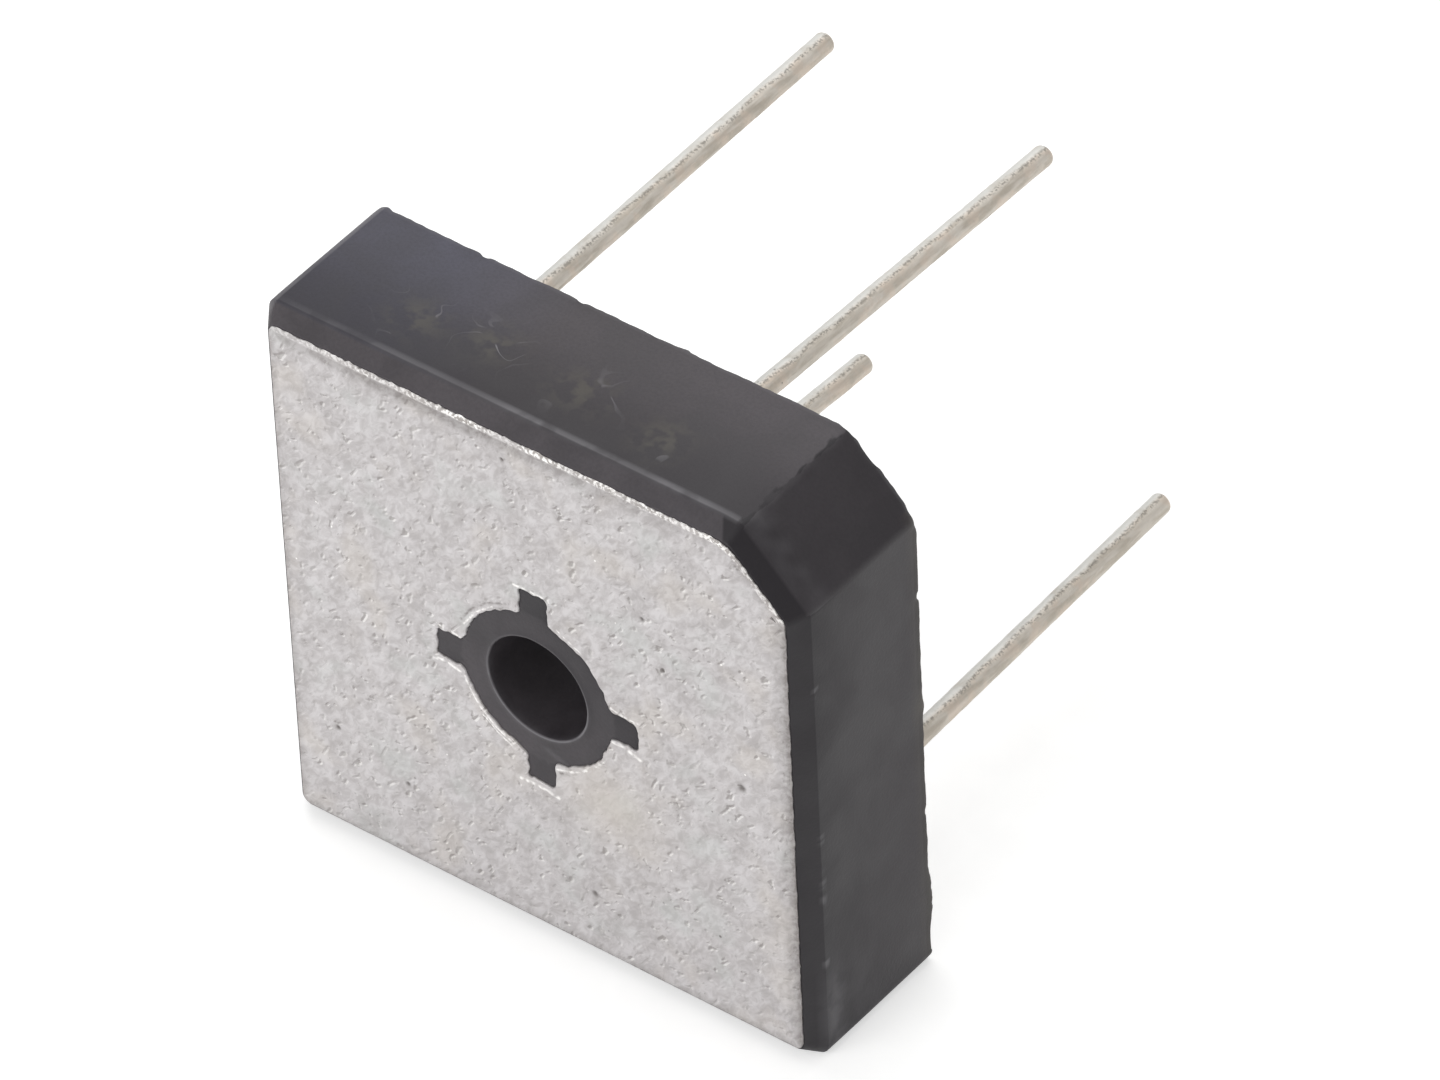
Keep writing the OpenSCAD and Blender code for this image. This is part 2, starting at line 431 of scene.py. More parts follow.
class Skin:
    """The points and faces of one closed mesh."""

    def __init__(self) -> None:
        """Starts with an empty mesh."""
        self.blocks: list[Array] = []
        self.faces: list[tuple[int, ...]] = []
        self.total = 0

    @property
    def points(self) -> Array:
        """All points so far, one row of x, y and z for each."""
        return np.concatenate(self.blocks)

    def add(self, points: Array) -> Array:
        """Adds points and returns their numbers.

        Args:
            points: one row of x, y and z for each.

        Returns:
            The numbers.
        """
        self.blocks.append(np.asarray(points, float))
        self.total += len(points)
        return np.arange(self.total - len(points), self.total)

    def band(self, first: Array, second: Array) -> None:
        """Joins two closed rings of as many points with a band of quads."""
        for a, b, c, d in zip(first, np.roll(first, -1), np.roll(second, -1), second):
            self.faces.append((int(a), int(b), int(c), int(d)))

    def stack(self, rings: Iterable[Array], onto: Array | None = None) -> list[Array]:
        """Adds rings and joins each to the one before.

        Args:
            rings: the rings' points.
            onto: numbers of a ring to start from.

        Returns:
            The numbers of each added ring's points.
        """
        numbers = []
        last = onto
        for ring in rings:
            added = self.add(ring)
            if last is not None:
                self.band(last, added)
            numbers.append(added)
            last = added
        return numbers

    def fill(
        self,
        loops: Sequence[Array],
        extra: Array | None = None,
        depth: Callable[[Array], Array] | None = None,
    ) -> None:
        """Closes the region between an outer ring and the rings inside it with triangles.

        Args:
            loops: numbers of the rings' points, the outer ring first.
            extra: x and z of points inside the region.
            depth: gives the depth of the extra points from their x and z.
        """
        own = self.points
        flat = [own[loop][:, [0, 2]] for loop in loops]
        numbers = list(np.concatenate(loops))
        spots = np.concatenate(flat)
        if extra is not None:
            heights = depth(extra)
            numbers += list(self.add(np.column_stack([extra[:, 0], heights, extra[:, 1]])))
            spots = np.concatenate([spots, extra])
        edges, first = [], 0
        for loop in loops:
            edges += [(first + i, first + (i + 1) % len(loop)) for i in range(len(loop))]
            first += len(loop)
        flat_spots = [Vector(p / MM) for p in spots]
        found = delaunay_2d_cdt(flat_spots, edges, [], ONLY_EDGES, SAME_SPOT)
        triangles = np.array(found[2])
        origin = np.array([source[0] for source in found[3]])
        centres = spots[origin[triangles]].mean(axis=1)
        keep = inside(centres, flat[0])
        for hole in flat[1:]:
            keep &= ~inside(centres, hole)
        self.faces += [tuple(int(numbers[origin[v]]) for v in t) for t in triangles[keep]]

    def fan(self, ring: Array, centre: Array) -> None:
        """Closes the end of a ring towards one middle point.

        Args:
            ring: numbers of the ring's points.
            centre: the middle point.
        """
        middle = int(self.add(np.array([centre]))[0])
        for a, b in zip(ring, np.roll(ring, -1)):
            self.faces.append((int(a), int(b), middle))

    def piece(self, name: str, crease: float = 40.0) -> Object:
        """Makes the object.

        Args:
            name: the object's name.
            crease: edges that turn by more degrees than this stay sharp.

        Returns:
            The object, linked to the scene, with its faces turned outwards.
        """
        mesh = bpy.data.meshes.new(name)
        mesh.from_pydata(self.points.tolist(), [], self.faces)
        face_out(mesh)
        mesh.shade_smooth()
        mesh.set_sharp_from_angle(angle=math.radians(crease))
        piece = bpy.data.objects.new(name, mesh)
        bpy.context.scene.collection.objects.link(piece)
        return piece


def face_out(mesh: bpy.types.Mesh) -> None:
    """Turns all faces of a closed mesh outwards.

    Args:
        mesh: the mesh.
    """
    editable = bmesh.new()
    editable.from_mesh(mesh)
    bmesh.ops.recalc_face_normals(editable, faces=editable.faces)
    editable.to_mesh(mesh)
    editable.free()


def mark(piece: Object, name: str, values: Array) -> None:
    """Stores one number for each point of a piece, for its finish to read.

    Args:
        piece: the object.
        name: name of the attribute.
        values: one number for each point.
    """
    attribute = piece.data.attributes.new(name, "FLOAT", "POINT")
    attribute.data.foreach_set("value", np.asarray(values, np.float32))


def places(piece: Object) -> Array:
    """Points of a piece, one row of x, y and z for each.

    Args:
        piece: the object.

    Returns:
        The points.
    """
    flat = np.zeros(3 * len(piece.data.vertices), np.float32)
    piece.data.vertices.foreach_get("co", flat)
    return flat.reshape(-1, 3).astype(float)


# ---- Finishes ----


def linear(code: str) -> tuple[float, float, float, float]:
    """Turns an sRGB hex colour to linear light.

    Args:
        code: six hex digits after a hash sign.

    Returns:
        Red, green, blue and a full alpha.
    """
    shares = [int(code[i : i + 2], 16) / 255 for i in (1, 3, 5)]
    light = [s / 12.92 if s <= 0.04045 else ((s + 0.055) / 1.055) ** 2.4 for s in shares]
    return light[0], light[1], light[2], 1.0


def add_node(
    tree: bpy.types.NodeTree,
    kind: str,
    inputs: dict[str | int, object] | None = None,
    **settings: object,
) -> bpy.types.Node:
    """Adds a node with its settings and links.

    Args:
        tree: the node tree.
        kind: the node's type.
        inputs: a value, or the socket to link from, for each named or numbered input.
        settings: the node's own properties.

    Returns:
        The node.
    """
    node = tree.nodes.new(kind)
    for name, value in settings.items():
        setattr(node, name, value)
    for name, value in (inputs or {}).items():
        if isinstance(value, Socket):
            tree.links.new(value, node.inputs[name])
        else:
            node.inputs[name].default_value = value
    return node


def per(size: float) -> float:
    """Scale of a pattern whose features lie this many metres apart."""
    return 1.0 / size


class Kind(Enum):
    """Shader nodes that the finishes use.

    Each has its type, its inputs in the order in which they are given, the output that is
    read, and its settings.
    """

    NOISE = ("ShaderNodeTexNoise", ("Vector", "Scale", "Detail", "Roughness", "Distortion"), "Fac", {})
    RANGE = (
        "ShaderNodeMapRange",
        ("Value", "From Min", "From Max", "To Min", "To Max"),
        "Result",
        {"interpolation_type": "SMOOTHSTEP"},
    )
    MARK = ("ShaderNodeAttribute", (), "Fac", {})
    MIX = ("ShaderNodeMix", (0, 6, 7), 2, {"data_type": "RGBA"})
    STRETCH = ("ShaderNodeMapping", ("Vector", "Scale"), "Vector", {})
    LEAN = (
        "ShaderNodeMapping",
        ("Vector", "Location", "Rotation", "Scale"),
        "Vector",
        {"vector_type": "TEXTURE"},
    )
    RELIEF = ("ShaderNodeBump", ("Height", "Distance"), "Normal", {})
    TIMES = ("ShaderNodeMath", (0, 1), "Value", {"operation": "MULTIPLY"})
    PLUS = ("ShaderNodeMath", (0, 1), "Value", {"operation": "ADD"})
    MINUS = ("ShaderNodeMath", (0, 1), "Value", {"operation": "SUBTRACT"})
    LARGER = ("ShaderNodeMath", (0, 1), "Value", {"operation": "MAXIMUM"})
    BELOW = ("ShaderNodeMath", (0, 1), "Value", {"operation": "LESS_THAN"})
    UNSIGNED = ("ShaderNodeMath", (0,), "Value", {"operation": "ABSOLUTE"})
    SURFACE = (
        "ShaderNodeBsdfPrincipled",
        ("Base Color", "Roughness", "Normal", "Metallic", "IOR"),
        "BSDF",
        {},
    )


class Coat:
    """A material while its nodes are drawn."""

    def __init__(self, name: str) -> None:
        """Starts a material with nothing but its output.

        Args:
            name: the material's name.
        """
        self.material = bpy.data.materials.new(name)
        self.material.use_nodes = True
        self.tree = self.material.node_tree
        self.tree.nodes.clear()
        self.output = add_node(self.tree, "ShaderNodeOutputMaterial")
        self.here = add_node(self.tree, "ShaderNodeTexCoord").outputs["Object"]

    def add(self, kind: Kind, *inputs: object, **settings: object) -> Socket:
        """Adds a node to the material.

        Args:
            kind: what it is.
            inputs: a value, or the socket to link from, for each of its inputs in order.
            settings: the node's own properties, besides those of its kind.

        Returns:
            The output that is read.
        """
        type_name, slots, output, fixed = kind.value
        node = add_node(self.tree, type_name, dict(zip(slots, inputs)), **fixed, **settings)
        return node.outputs[output]

    def specks(self, size: float, radius: float, share: float) -> Socket:
        """Small round spots, scattered at random.

        Args:
            size: distance between neighbouring places for a spot.
            radius: radius of a spot.
            share: share of the places that have one.

        Returns:
            1 in a spot and 0 outside.
        """
        cells = add_node(self.tree, "ShaderNodeTexVoronoi", {"Vector": self.here, "Scale": per(size)})
        spot = self.add(
            Kind.RANGE, cells.outputs["Distance"], 0.6 * radius / size, radius / size, 1.0, 0.0
        )
        parts = add_node(self.tree, "ShaderNodeSeparateColor", {"Color": cells.outputs["Color"]})
        return self.add(Kind.TIMES, spot, self.add(Kind.BELOW, parts.outputs["Red"], share))

    def finish(self, shader: Socket) -> Material:
        """Puts a shader on the surface and ends the material."""
        self.tree.links.new(shader, self.output.inputs["Surface"])
        return self.material


@dataclass(frozen=True)
class MouldedEpoxy:
    """Filled epoxy, transfer-moulded: matt black with a fine sandy grain and a pale tone.

    The pale tone is partly the dusty film that handling leaves on the outer walls and partly painted
    light, since faces that the light falls on get more of it. A paler colour marks real scratches and
    paints highlights on the ridges, the edges and the hole's mouth.
    """

    body: str = "#161017"
    bloom: str = "#504b4f"
    haze: str = "#53525f"
    rubbed: str = "#7d7b7f"
    fleck: str = "#b4b1ae"
    stain: str = "#4a433b"
    smudge: str = "#5a564c"
    ior: float = 1.5
    sand: float = 0.16 * MM  # coarser than the real grain, so that it shows
    cloud: float = 3.2 * MM
    wear_patch: float = 1.4 * MM
    smudge_patch: float = 0.9 * MM
    scratch_loop: float = 2.3 * MM
    scratch_gap: float = 1.3 * MM
    speck_radius: float = 0.06 * MM
    speck_gap: float = 1.7 * MM
    relief: float = 0.012 * MM

    def material(self) -> Material:
        """Makes the material, which reads the piece's bloom, haze, rub, scuff and stain marks.

        Returns:
            The material.
        """
        coat = Coat("epoxy_transfer_moulded")
        sand = coat.add(Kind.NOISE, coat.here, per(self.sand), 3.0, 0.6)
        cloud = coat.add(Kind.NOISE, coat.here, per(self.cloud), 3.0, 0.55, 0.4)
        # bloom: dust film, and painted light that makes faces the light falls on paler
        bloom = coat.add(Kind.MARK, attribute_name="bloom")
        film = coat.add(Kind.TIMES, bloom, coat.add(Kind.RANGE, cloud, 0.3, 0.7, 0.68, 1.06))
        haze = coat.add(Kind.MARK, attribute_name="haze")
        tint = coat.add(Kind.MIX, haze, linear(self.bloom), linear(self.haze))
        colour = coat.add(Kind.MIX, film, linear(self.body), tint)
        bare = coat.add(Kind.RANGE, sand, 0.35, 0.7, 0.0, 0.16)
        colour = coat.add(Kind.MIX, bare, colour, linear(self.body))
        # rub: painted highlights on the ridges, the upper left edge and the hole's mouth, painted light
        # on the right wall's foot, and real wear
        rub = coat.add(Kind.MARK, attribute_name="rub")
        patch = coat.add(Kind.NOISE, coat.here, per(self.wear_patch))
        worn = coat.add(Kind.TIMES, rub, coat.add(Kind.RANGE, patch, 0.3, 0.5, 0.45, 1.0))
        colour = coat.add(Kind.MIX, worn, colour, linear(self.rubbed))
        stain = coat.add(Kind.MARK, attribute_name="stain")
        colour = coat.add(Kind.MIX, stain, colour, linear(self.stain))
        scuff = coat.add(Kind.MARK, attribute_name="scuff")
        patch = coat.add(Kind.NOISE, coat.here, per(self.smudge_patch))
        blot = coat.add(Kind.TIMES, scuff, coat.add(Kind.RANGE, patch, 0.42, 0.6, 0.0, 0.5))
        colour = coat.add(Kind.MIX, blot, colour, linear(self.smudge))
        colour = coat.add(Kind.MIX, self.scratches(coat), colour, linear(self.rubbed))
        specks = coat.specks(self.speck_gap, self.speck_radius, 0.2)
        colour = coat.add(Kind.MIX, specks, colour, linear(self.fleck))
        rough = coat.add(Kind.RANGE, cloud, 0.25, 0.75, 0.5, 0.62)
        height = coat.add(Kind.PLUS, sand, coat.add(Kind.TIMES, cloud, 2.0))
        normal = coat.add(Kind.RELIEF, height, self.relief)
        return coat.finish(coat.add(Kind.SURFACE, colour, rough, normal, 0.0, self.ior))

    def scratches(self, coat: Coat) -> Socket:
        """Thin broken lines in the handled places, where a soft pattern passes its middle.

        Args:
            coat: the material in work.

        Returns:
            1 on a line and 0 beside it.
        """
        drift = coat.add(Kind.NOISE, coat.here, per(self.scratch_loop), 1.0, 0.5, 0.5)
        off = coat.add(Kind.UNSIGNED, coat.add(Kind.MINUS, drift, 0.5))
        line = coat.add(Kind.RANGE, off, 0.006, 0.016, 1.0, 0.0)
        gaps = coat.add(Kind.NOISE, coat.here, per(self.scratch_gap), 1.0)
        broken = coat.add(Kind.TIMES, line, coat.add(Kind.RANGE, gaps, 0.43, 0.54, 0.0, 0.85))
        return coat.add(Kind.TIMES, broken, coat.add(Kind.MARK, attribute_name="scuff"))


@dataclass(frozen=True)
class PickledAluminium:
    """Rolled aluminium sheet, pickled matt: pale warm grey with a fine crystalline mottle.

    Painted glints stand for single grains that catch the light, sparse etch pits are dark, and the burred
    edges are painted with bright sparkles.
    """

    light: str = "#d1cecf"
    dark: str = "#b9b5b5"
    fleck: str = "#87827f"
    pit: str = "#6a6562"
    warm: str = "#cdc6be"
    cool: str = "#c4c9c6"
    bright: str = "#fbf9f7"
    torn: str = "#aca7a4"
    shade: str = "#888381"
    flow: float = 0.38 * MM
    cell: float = 1.1 * MM
    broad: float = 3.6 * MM
    stroke_crowd: float = 1.9 * MM
    stroke: float = 0.24 * MM
    stroke_length: float = 2.4
    flow_length: float = 1.7
    second_shift: float = 0.11 * MM
    torn_grain: float = 0.18 * MM
    pit_gap: float = 1.5 * MM
    pit_radius: float = 0.09 * MM
    glint_gap: float = 1.1 * MM
    glint_radius: float = 0.06 * MM
    rolled: float = math.radians(-50)
    relief: float = 0.01 * MM

    def leaning(self, coat: Coat, stretch: float, shift: float = 0.0) -> Socket:
        """Coordinates drawn out along the direction in which the sheet was rolled.

        Args:
            coat: the material in work.
            stretch: how much longer a pattern gets along that direction.
            shift: sets two patterns of the same kind apart.

        Returns:
            The coordinates.
        """
        place, turn = (shift, 0.0, -0.4 * shift), (0.0, self.rolled, 0.0)
        return coat.add(Kind.LEAN, coat.here, place, turn, (stretch, 1.0, 1.0))

    def strokes(self, coat: Coat, shift: float) -> Socket:
        """Short strokes, which the rolls and the pickling bath leave in the sheet."""
        at = self.leaning(coat, self.stroke_length, shift)
        return coat.add(Kind.NOISE, at, per(self.stroke), 2.0, 0.45, 0.5)

    def material(self) -> Material:
        """Makes the material, which reads the piece's tinge, burr, gleam, shade and pit marks.

        Returns:
            The material.
        """
        coat = Coat("aluminium_rolled_pickled")
        along = self.leaning(coat, self.flow_length)
        flow = coat.add(Kind.NOISE, along, per(self.flow), 5.0, 0.68, 0.6)
        broad = coat.add(Kind.NOISE, coat.here, per(self.broad))
        cells = coat.add(Kind.NOISE, along, per(self.cell), 3.0)
        patch = coat.add(Kind.RANGE, cells, 0.4, 0.6, 0.0, 0.35)
        mottle = coat.add(Kind.PLUS, coat.add(Kind.RANGE, flow, 0.36, 0.64, 0.0, 0.6), patch)
        colour = coat.add(Kind.MIX, mottle, linear(self.dark), linear(self.light))
        warmer = coat.add(Kind.RANGE, broad, 0.52, 0.7, 0.0, 0.3)
        colour = coat.add(Kind.MIX, warmer, colour, linear(self.warm))
        cooler = coat.add(Kind.RANGE, broad, 0.47, 0.3, 0.0, 0.3)
        colour = coat.add(Kind.MIX, cooler, colour, linear(self.cool))
        crowd = coat.add(Kind.NOISE, coat.here, per(self.stroke_crowd))
        busy = coat.add(Kind.RANGE, crowd, 0.4, 0.62, 0.35, 1.0)
        dark = coat.add(Kind.TIMES, coat.add(Kind.RANGE, self.strokes(coat, 0.0), 0.585, 0.69), busy)
        pale = self.strokes(coat, self.second_shift)
        light = coat.add(Kind.TIMES, coat.add(Kind.RANGE, pale, 0.62, 0.7), busy)
        colour = coat.add(Kind.MIX, coat.add(Kind.TIMES, light, 0.45), colour, linear(self.bright))
        colour = coat.add(Kind.MIX, coat.add(Kind.TIMES, dark, 0.62), colour, linear(self.fleck))
        spots = coat.specks(self.pit_gap, self.pit_radius, 0.3)
        colour = coat.add(Kind.MIX, coat.add(Kind.TIMES, spots, 0.7), colour, linear(self.pit))
        # painted glints: tiny bright specks that stand for grains catching the light
        glints = coat.specks(self.glint_gap, self.glint_radius, 0.35)
        colour = coat.add(Kind.MIX, coat.add(Kind.TIMES, glints, 0.8), colour, linear(self.bright))
        colour = self.marked(coat, colour, flow)
        rough = coat.add(Kind.RANGE, flow, 0.3, 0.7, 0.62, 0.5)
        height = coat.add(Kind.MINUS, coat.add(Kind.TIMES, flow, 0.5), coat.add(Kind.TIMES, dark, 0.2))
        normal = coat.add(Kind.RELIEF, height, self.relief)
        return coat.finish(coat.add(Kind.SURFACE, colour, rough, normal, 1.0))

    def marked(self, coat: Coat, colour: Socket, flow: Socket) -> Socket:
        """Lays the marks stored on the piece, painted shade and highlights among them, over the sheet's
        own colour.

        Args:
            coat: the material in work.
            colour: the sheet's colour.
            flow: its mottle.

        Returns:
            The colour with the marks.
        """
        tinge = coat.add(Kind.MARK, attribute_name="tinge")
        colour = coat.add(Kind.MIX, tinge, colour, linear(self.warm))
        pit = coat.add(Kind.MARK, attribute_name="pit")
        colour = coat.add(Kind.MIX, pit, colour, linear(self.pit))
        # painted shade along the edges and in the grooved scars, weaker where the mottle is high
        shade = coat.add(Kind.MARK, attribute_name="shade")
        dull = coat.add(Kind.TIMES, shade, coat.add(Kind.RANGE, flow, 0.35, 0.6, 1.0, 0.7))
        colour = coat.add(Kind.MIX, dull, colour, linear(self.shade))
        # painted highlight on the burr: bright sparkles with darker grains between
        glint = coat.add(Kind.RANGE, coat.add(Kind.NOISE, coat.here, per(self.torn_grain)), 0.42, 0.6)
        metal = coat.add(Kind.MIX, glint, linear(self.torn), linear(self.bright))
        colour = coat.add(Kind.MIX, coat.add(Kind.MARK, attribute_name="burr"), colour, metal)
        # painted highlight on the raised scars
        gleam = coat.add(Kind.MARK, attribute_name="gleam")
        return coat.add(Kind.MIX, gleam, colour, linear(self.bright))


@dataclass(frozen=True)
class PouredResin:
    """Epoxy potting, poured and cured: black, half glossy, with soft waves and dull patches."""

    body: str = "#232225"
    dull: str = "#37353a"
    ior: float = 1.55
    cloud: float = 2.6 * MM
    fine: float = 0.25 * MM
    bubble_radius: float = 0.08 * MM
    bubble_gap: float = 1.6 * MM
    relief: float = 0.015 * MM

    def material(self) -> Material:
        """Makes the material.

        Returns:
            The material.
        """
        coat = Coat("epoxy_poured")
        cloud = coat.add(Kind.NOISE, coat.here, per(self.cloud), 3.0, 0.5, 0.6)
        fine = coat.add(Kind.NOISE, coat.here, per(self.fine))
        patches = coat.add(Kind.RANGE, cloud, 0.35, 0.7, 0.0, 0.8)
        colour = coat.add(Kind.MIX, patches, linear(self.body), linear(self.dull))
        rough = coat.add(Kind.RANGE, cloud, 0.35, 0.7, 0.3, 0.5)
        bubbles = coat.specks(self.bubble_gap, self.bubble_radius, 0.25)
        waves = coat.add(Kind.TIMES, fine, 0.4)
        height = coat.add(Kind.MINUS, waves, coat.add(Kind.TIMES, bubbles, 2.0))
        normal = coat.add(Kind.RELIEF, height, self.relief)
        return coat.finish(coat.add(Kind.SURFACE, colour, rough, normal, 0.0, self.ior))


@dataclass(frozen=True)
class TinnedWire:
    """Drawn copper wire, hot-dipped in tin: warm satin grey with soft streaks.

    A pale strip up and to the left is a painted highlight, and a pitted dark seam runs along its edge.
    The tin has aged, so its skin is part oxide and not fully metallic.
    """

    tin: str = "#e3ddd4"
    shade: str = "#cec6ba"
    warm: str = "#dfd0c1"
    thick: str = "#e6e5e1"
    spot: str = "#7f7a72"
    metallic: float = 0.75
    streak: float = 0.3 * MM
    patch: float = 1.1 * MM
    crumb: float = 0.13 * MM
    pit_radius: float = 0.06 * MM
    pit_gap: float = 0.6 * MM
    relief: float = 0.018 * MM

    def material(self) -> Material:
        """Makes the material, which reads the lead's thick and seam marks.

        Returns:
            The material.
        """
        coat = Coat("copper_wire_tinned")
        along = coat.add(Kind.STRETCH, coat.here, (1.0, 0.14, 1.0))
        streak = coat.add(Kind.NOISE, along, per(self.streak), 3.0, 0.55, 0.3)
        patch = coat.add(Kind.NOISE, coat.here, per(self.patch), 3.0, 0.6)
        share = coat.add(Kind.RANGE, streak, 0.35, 0.65)
        colour = coat.add(Kind.MIX, share, linear(self.shade), linear(self.tin))
        warmer = coat.add(Kind.RANGE, patch, 0.45, 0.65, 0.0, 0.6)
        colour = coat.add(Kind.MIX, warmer, colour, linear(self.warm))
        # painted highlight: a pale strip up and to the left of each lead, where the light falls
        thick = coat.add(Kind.MARK, attribute_name="thick")
        ran = coat.add(Kind.TIMES, thick, coat.add(Kind.RANGE, patch, 0.3, 0.5, 0.5, 1.0))
        colour = coat.add(Kind.MIX, ran, colour, linear(self.thick))
        crumb = coat.add(Kind.NOISE, coat.here, per(self.crumb))
        seam = coat.add(Kind.MARK, attribute_name="seam")
        seam = coat.add(Kind.TIMES, seam, coat.add(Kind.RANGE, crumb, 0.46, 0.58))
        pits = coat.add(Kind.LARGER, coat.specks(self.pit_gap, self.pit_radius, 0.25), seam)
        colour = coat.add(Kind.MIX, coat.add(Kind.TIMES, pits, 0.65), colour, linear(self.spot))
        rough = coat.add(Kind.RANGE, patch, 0.35, 0.65, 0.72, 0.6)
        height = coat.add(Kind.MINUS, coat.add(Kind.PLUS, streak, crumb), pits)
        normal = coat.add(Kind.RELIEF, height, self.relief)
        return coat.finish(coat.add(Kind.SURFACE, colour, rough, normal, self.metallic))


@dataclass(frozen=True)
class StampedCopper:
    """Stamped copper strip: pink brown, finely rolled along its length, with tarnish clouds."""

    clean: str = "#d08e6c"
    tarnish: str = "#9c6a50"
    line: float = 0.12 * MM  # coarser than real rolling lines, so that they show
    cloud: float = 1.8 * MM
    relief: float = 0.006 * MM

    def material(self) -> Material:
        """Makes the material.

        Returns:
            The material.
        """
        coat = Coat("copper_stamped")
        along = coat.add(Kind.STRETCH, coat.here, (0.08, 1.0, 1.0))
        rolled = coat.add(Kind.NOISE, along, per(self.line))
        cloud = coat.add(Kind.NOISE, coat.here, per(self.cloud), 3.0)
        share = coat.add(Kind.RANGE, cloud, 0.4, 0.7)
        colour = coat.add(Kind.MIX, share, linear(self.clean), linear(self.tarnish))
        rough = coat.add(Kind.RANGE, rolled, 0.3, 0.7, 0.3, 0.45)
        normal = coat.add(Kind.RELIEF, rolled, self.relief)
        return coat.finish(coat.add(Kind.SURFACE, colour, rough, normal, 1.0))


@dataclass(frozen=True)
class DicedSilicon:
    """Diced silicon wafer: blue grey and glossy, with fine lapping lines."""

    body: str = "#5d6270"
    dark: str = "#484c58"
    line: float = 0.1 * MM  # coarser than real lapping lines, so that they show
    relief: float = 0.002 * MM

    def material(self) -> Material:
        """Makes the material.

        Returns:
            The material.
        """
        coat = Coat("silicon_diced")
        along = coat.add(Kind.STRETCH, coat.here, (1.0, 1.0, 0.1))
        lapped = coat.add(Kind.NOISE, along, per(self.line))
        share = coat.add(Kind.RANGE, lapped, 0.3, 0.7)
        colour = coat.add(Kind.MIX, share, linear(self.dark), linear(self.body))
        rough = coat.add(Kind.RANGE, lapped, 0.3, 0.7, 0.18, 0.3)
        normal = coat.add(Kind.RELIEF, lapped, self.relief)
        return coat.finish(coat.add(Kind.SURFACE, colour, rough, normal, 1.0))


@dataclass(frozen=True)
class ReflowedSolder:
    """Lead-rich solder, melted and set: dull silver with a frosty grain."""

    bright: str = "#c9cbcd"
    dull: str = "#a3a5a9"
    frost: float = 0.18 * MM  # coarser than real frost, so that it shows
    relief: float = 0.01 * MM

    def material(self) -> Material:
        """Makes the material.

        Returns:
            The material.
        """
        coat = Coat("solder_reflowed")
        frost = coat.add(Kind.NOISE, coat.here, per(self.frost), 3.0, 0.6)
        share = coat.add(Kind.RANGE, frost, 0.35, 0.7)
        colour = coat.add(Kind.MIX, share, linear(self.dull), linear(self.bright))
        rough = coat.add(Kind.RANGE, frost, 0.3, 0.7, 0.5, 0.32)
        normal = coat.add(Kind.RELIEF, frost, self.relief)
        return coat.finish(coat.add(Kind.SURFACE, colour, rough, normal, 1.0))


# ---- Case and plate ----


class Dressed:
    """A piece that is modelled in place of one CAD node.

    Args:
        node: name of the CAD node.
        finish_slot: name of the slot for its finish; it is not used.
    """

    node: str
    finish_slot: str

    def dress(self, piece: Object, material: Material) -> None:
        """Gives the piece its finish and its place in the frame.

        Args:
            piece: the modelled object.
            material: its finish.
        """
        piece.data.materials.append(material)
        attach(piece, BODY)
        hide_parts(self.node)
        LOG.info("%s: %d faces", piece.name, len(piece.data.polygons))


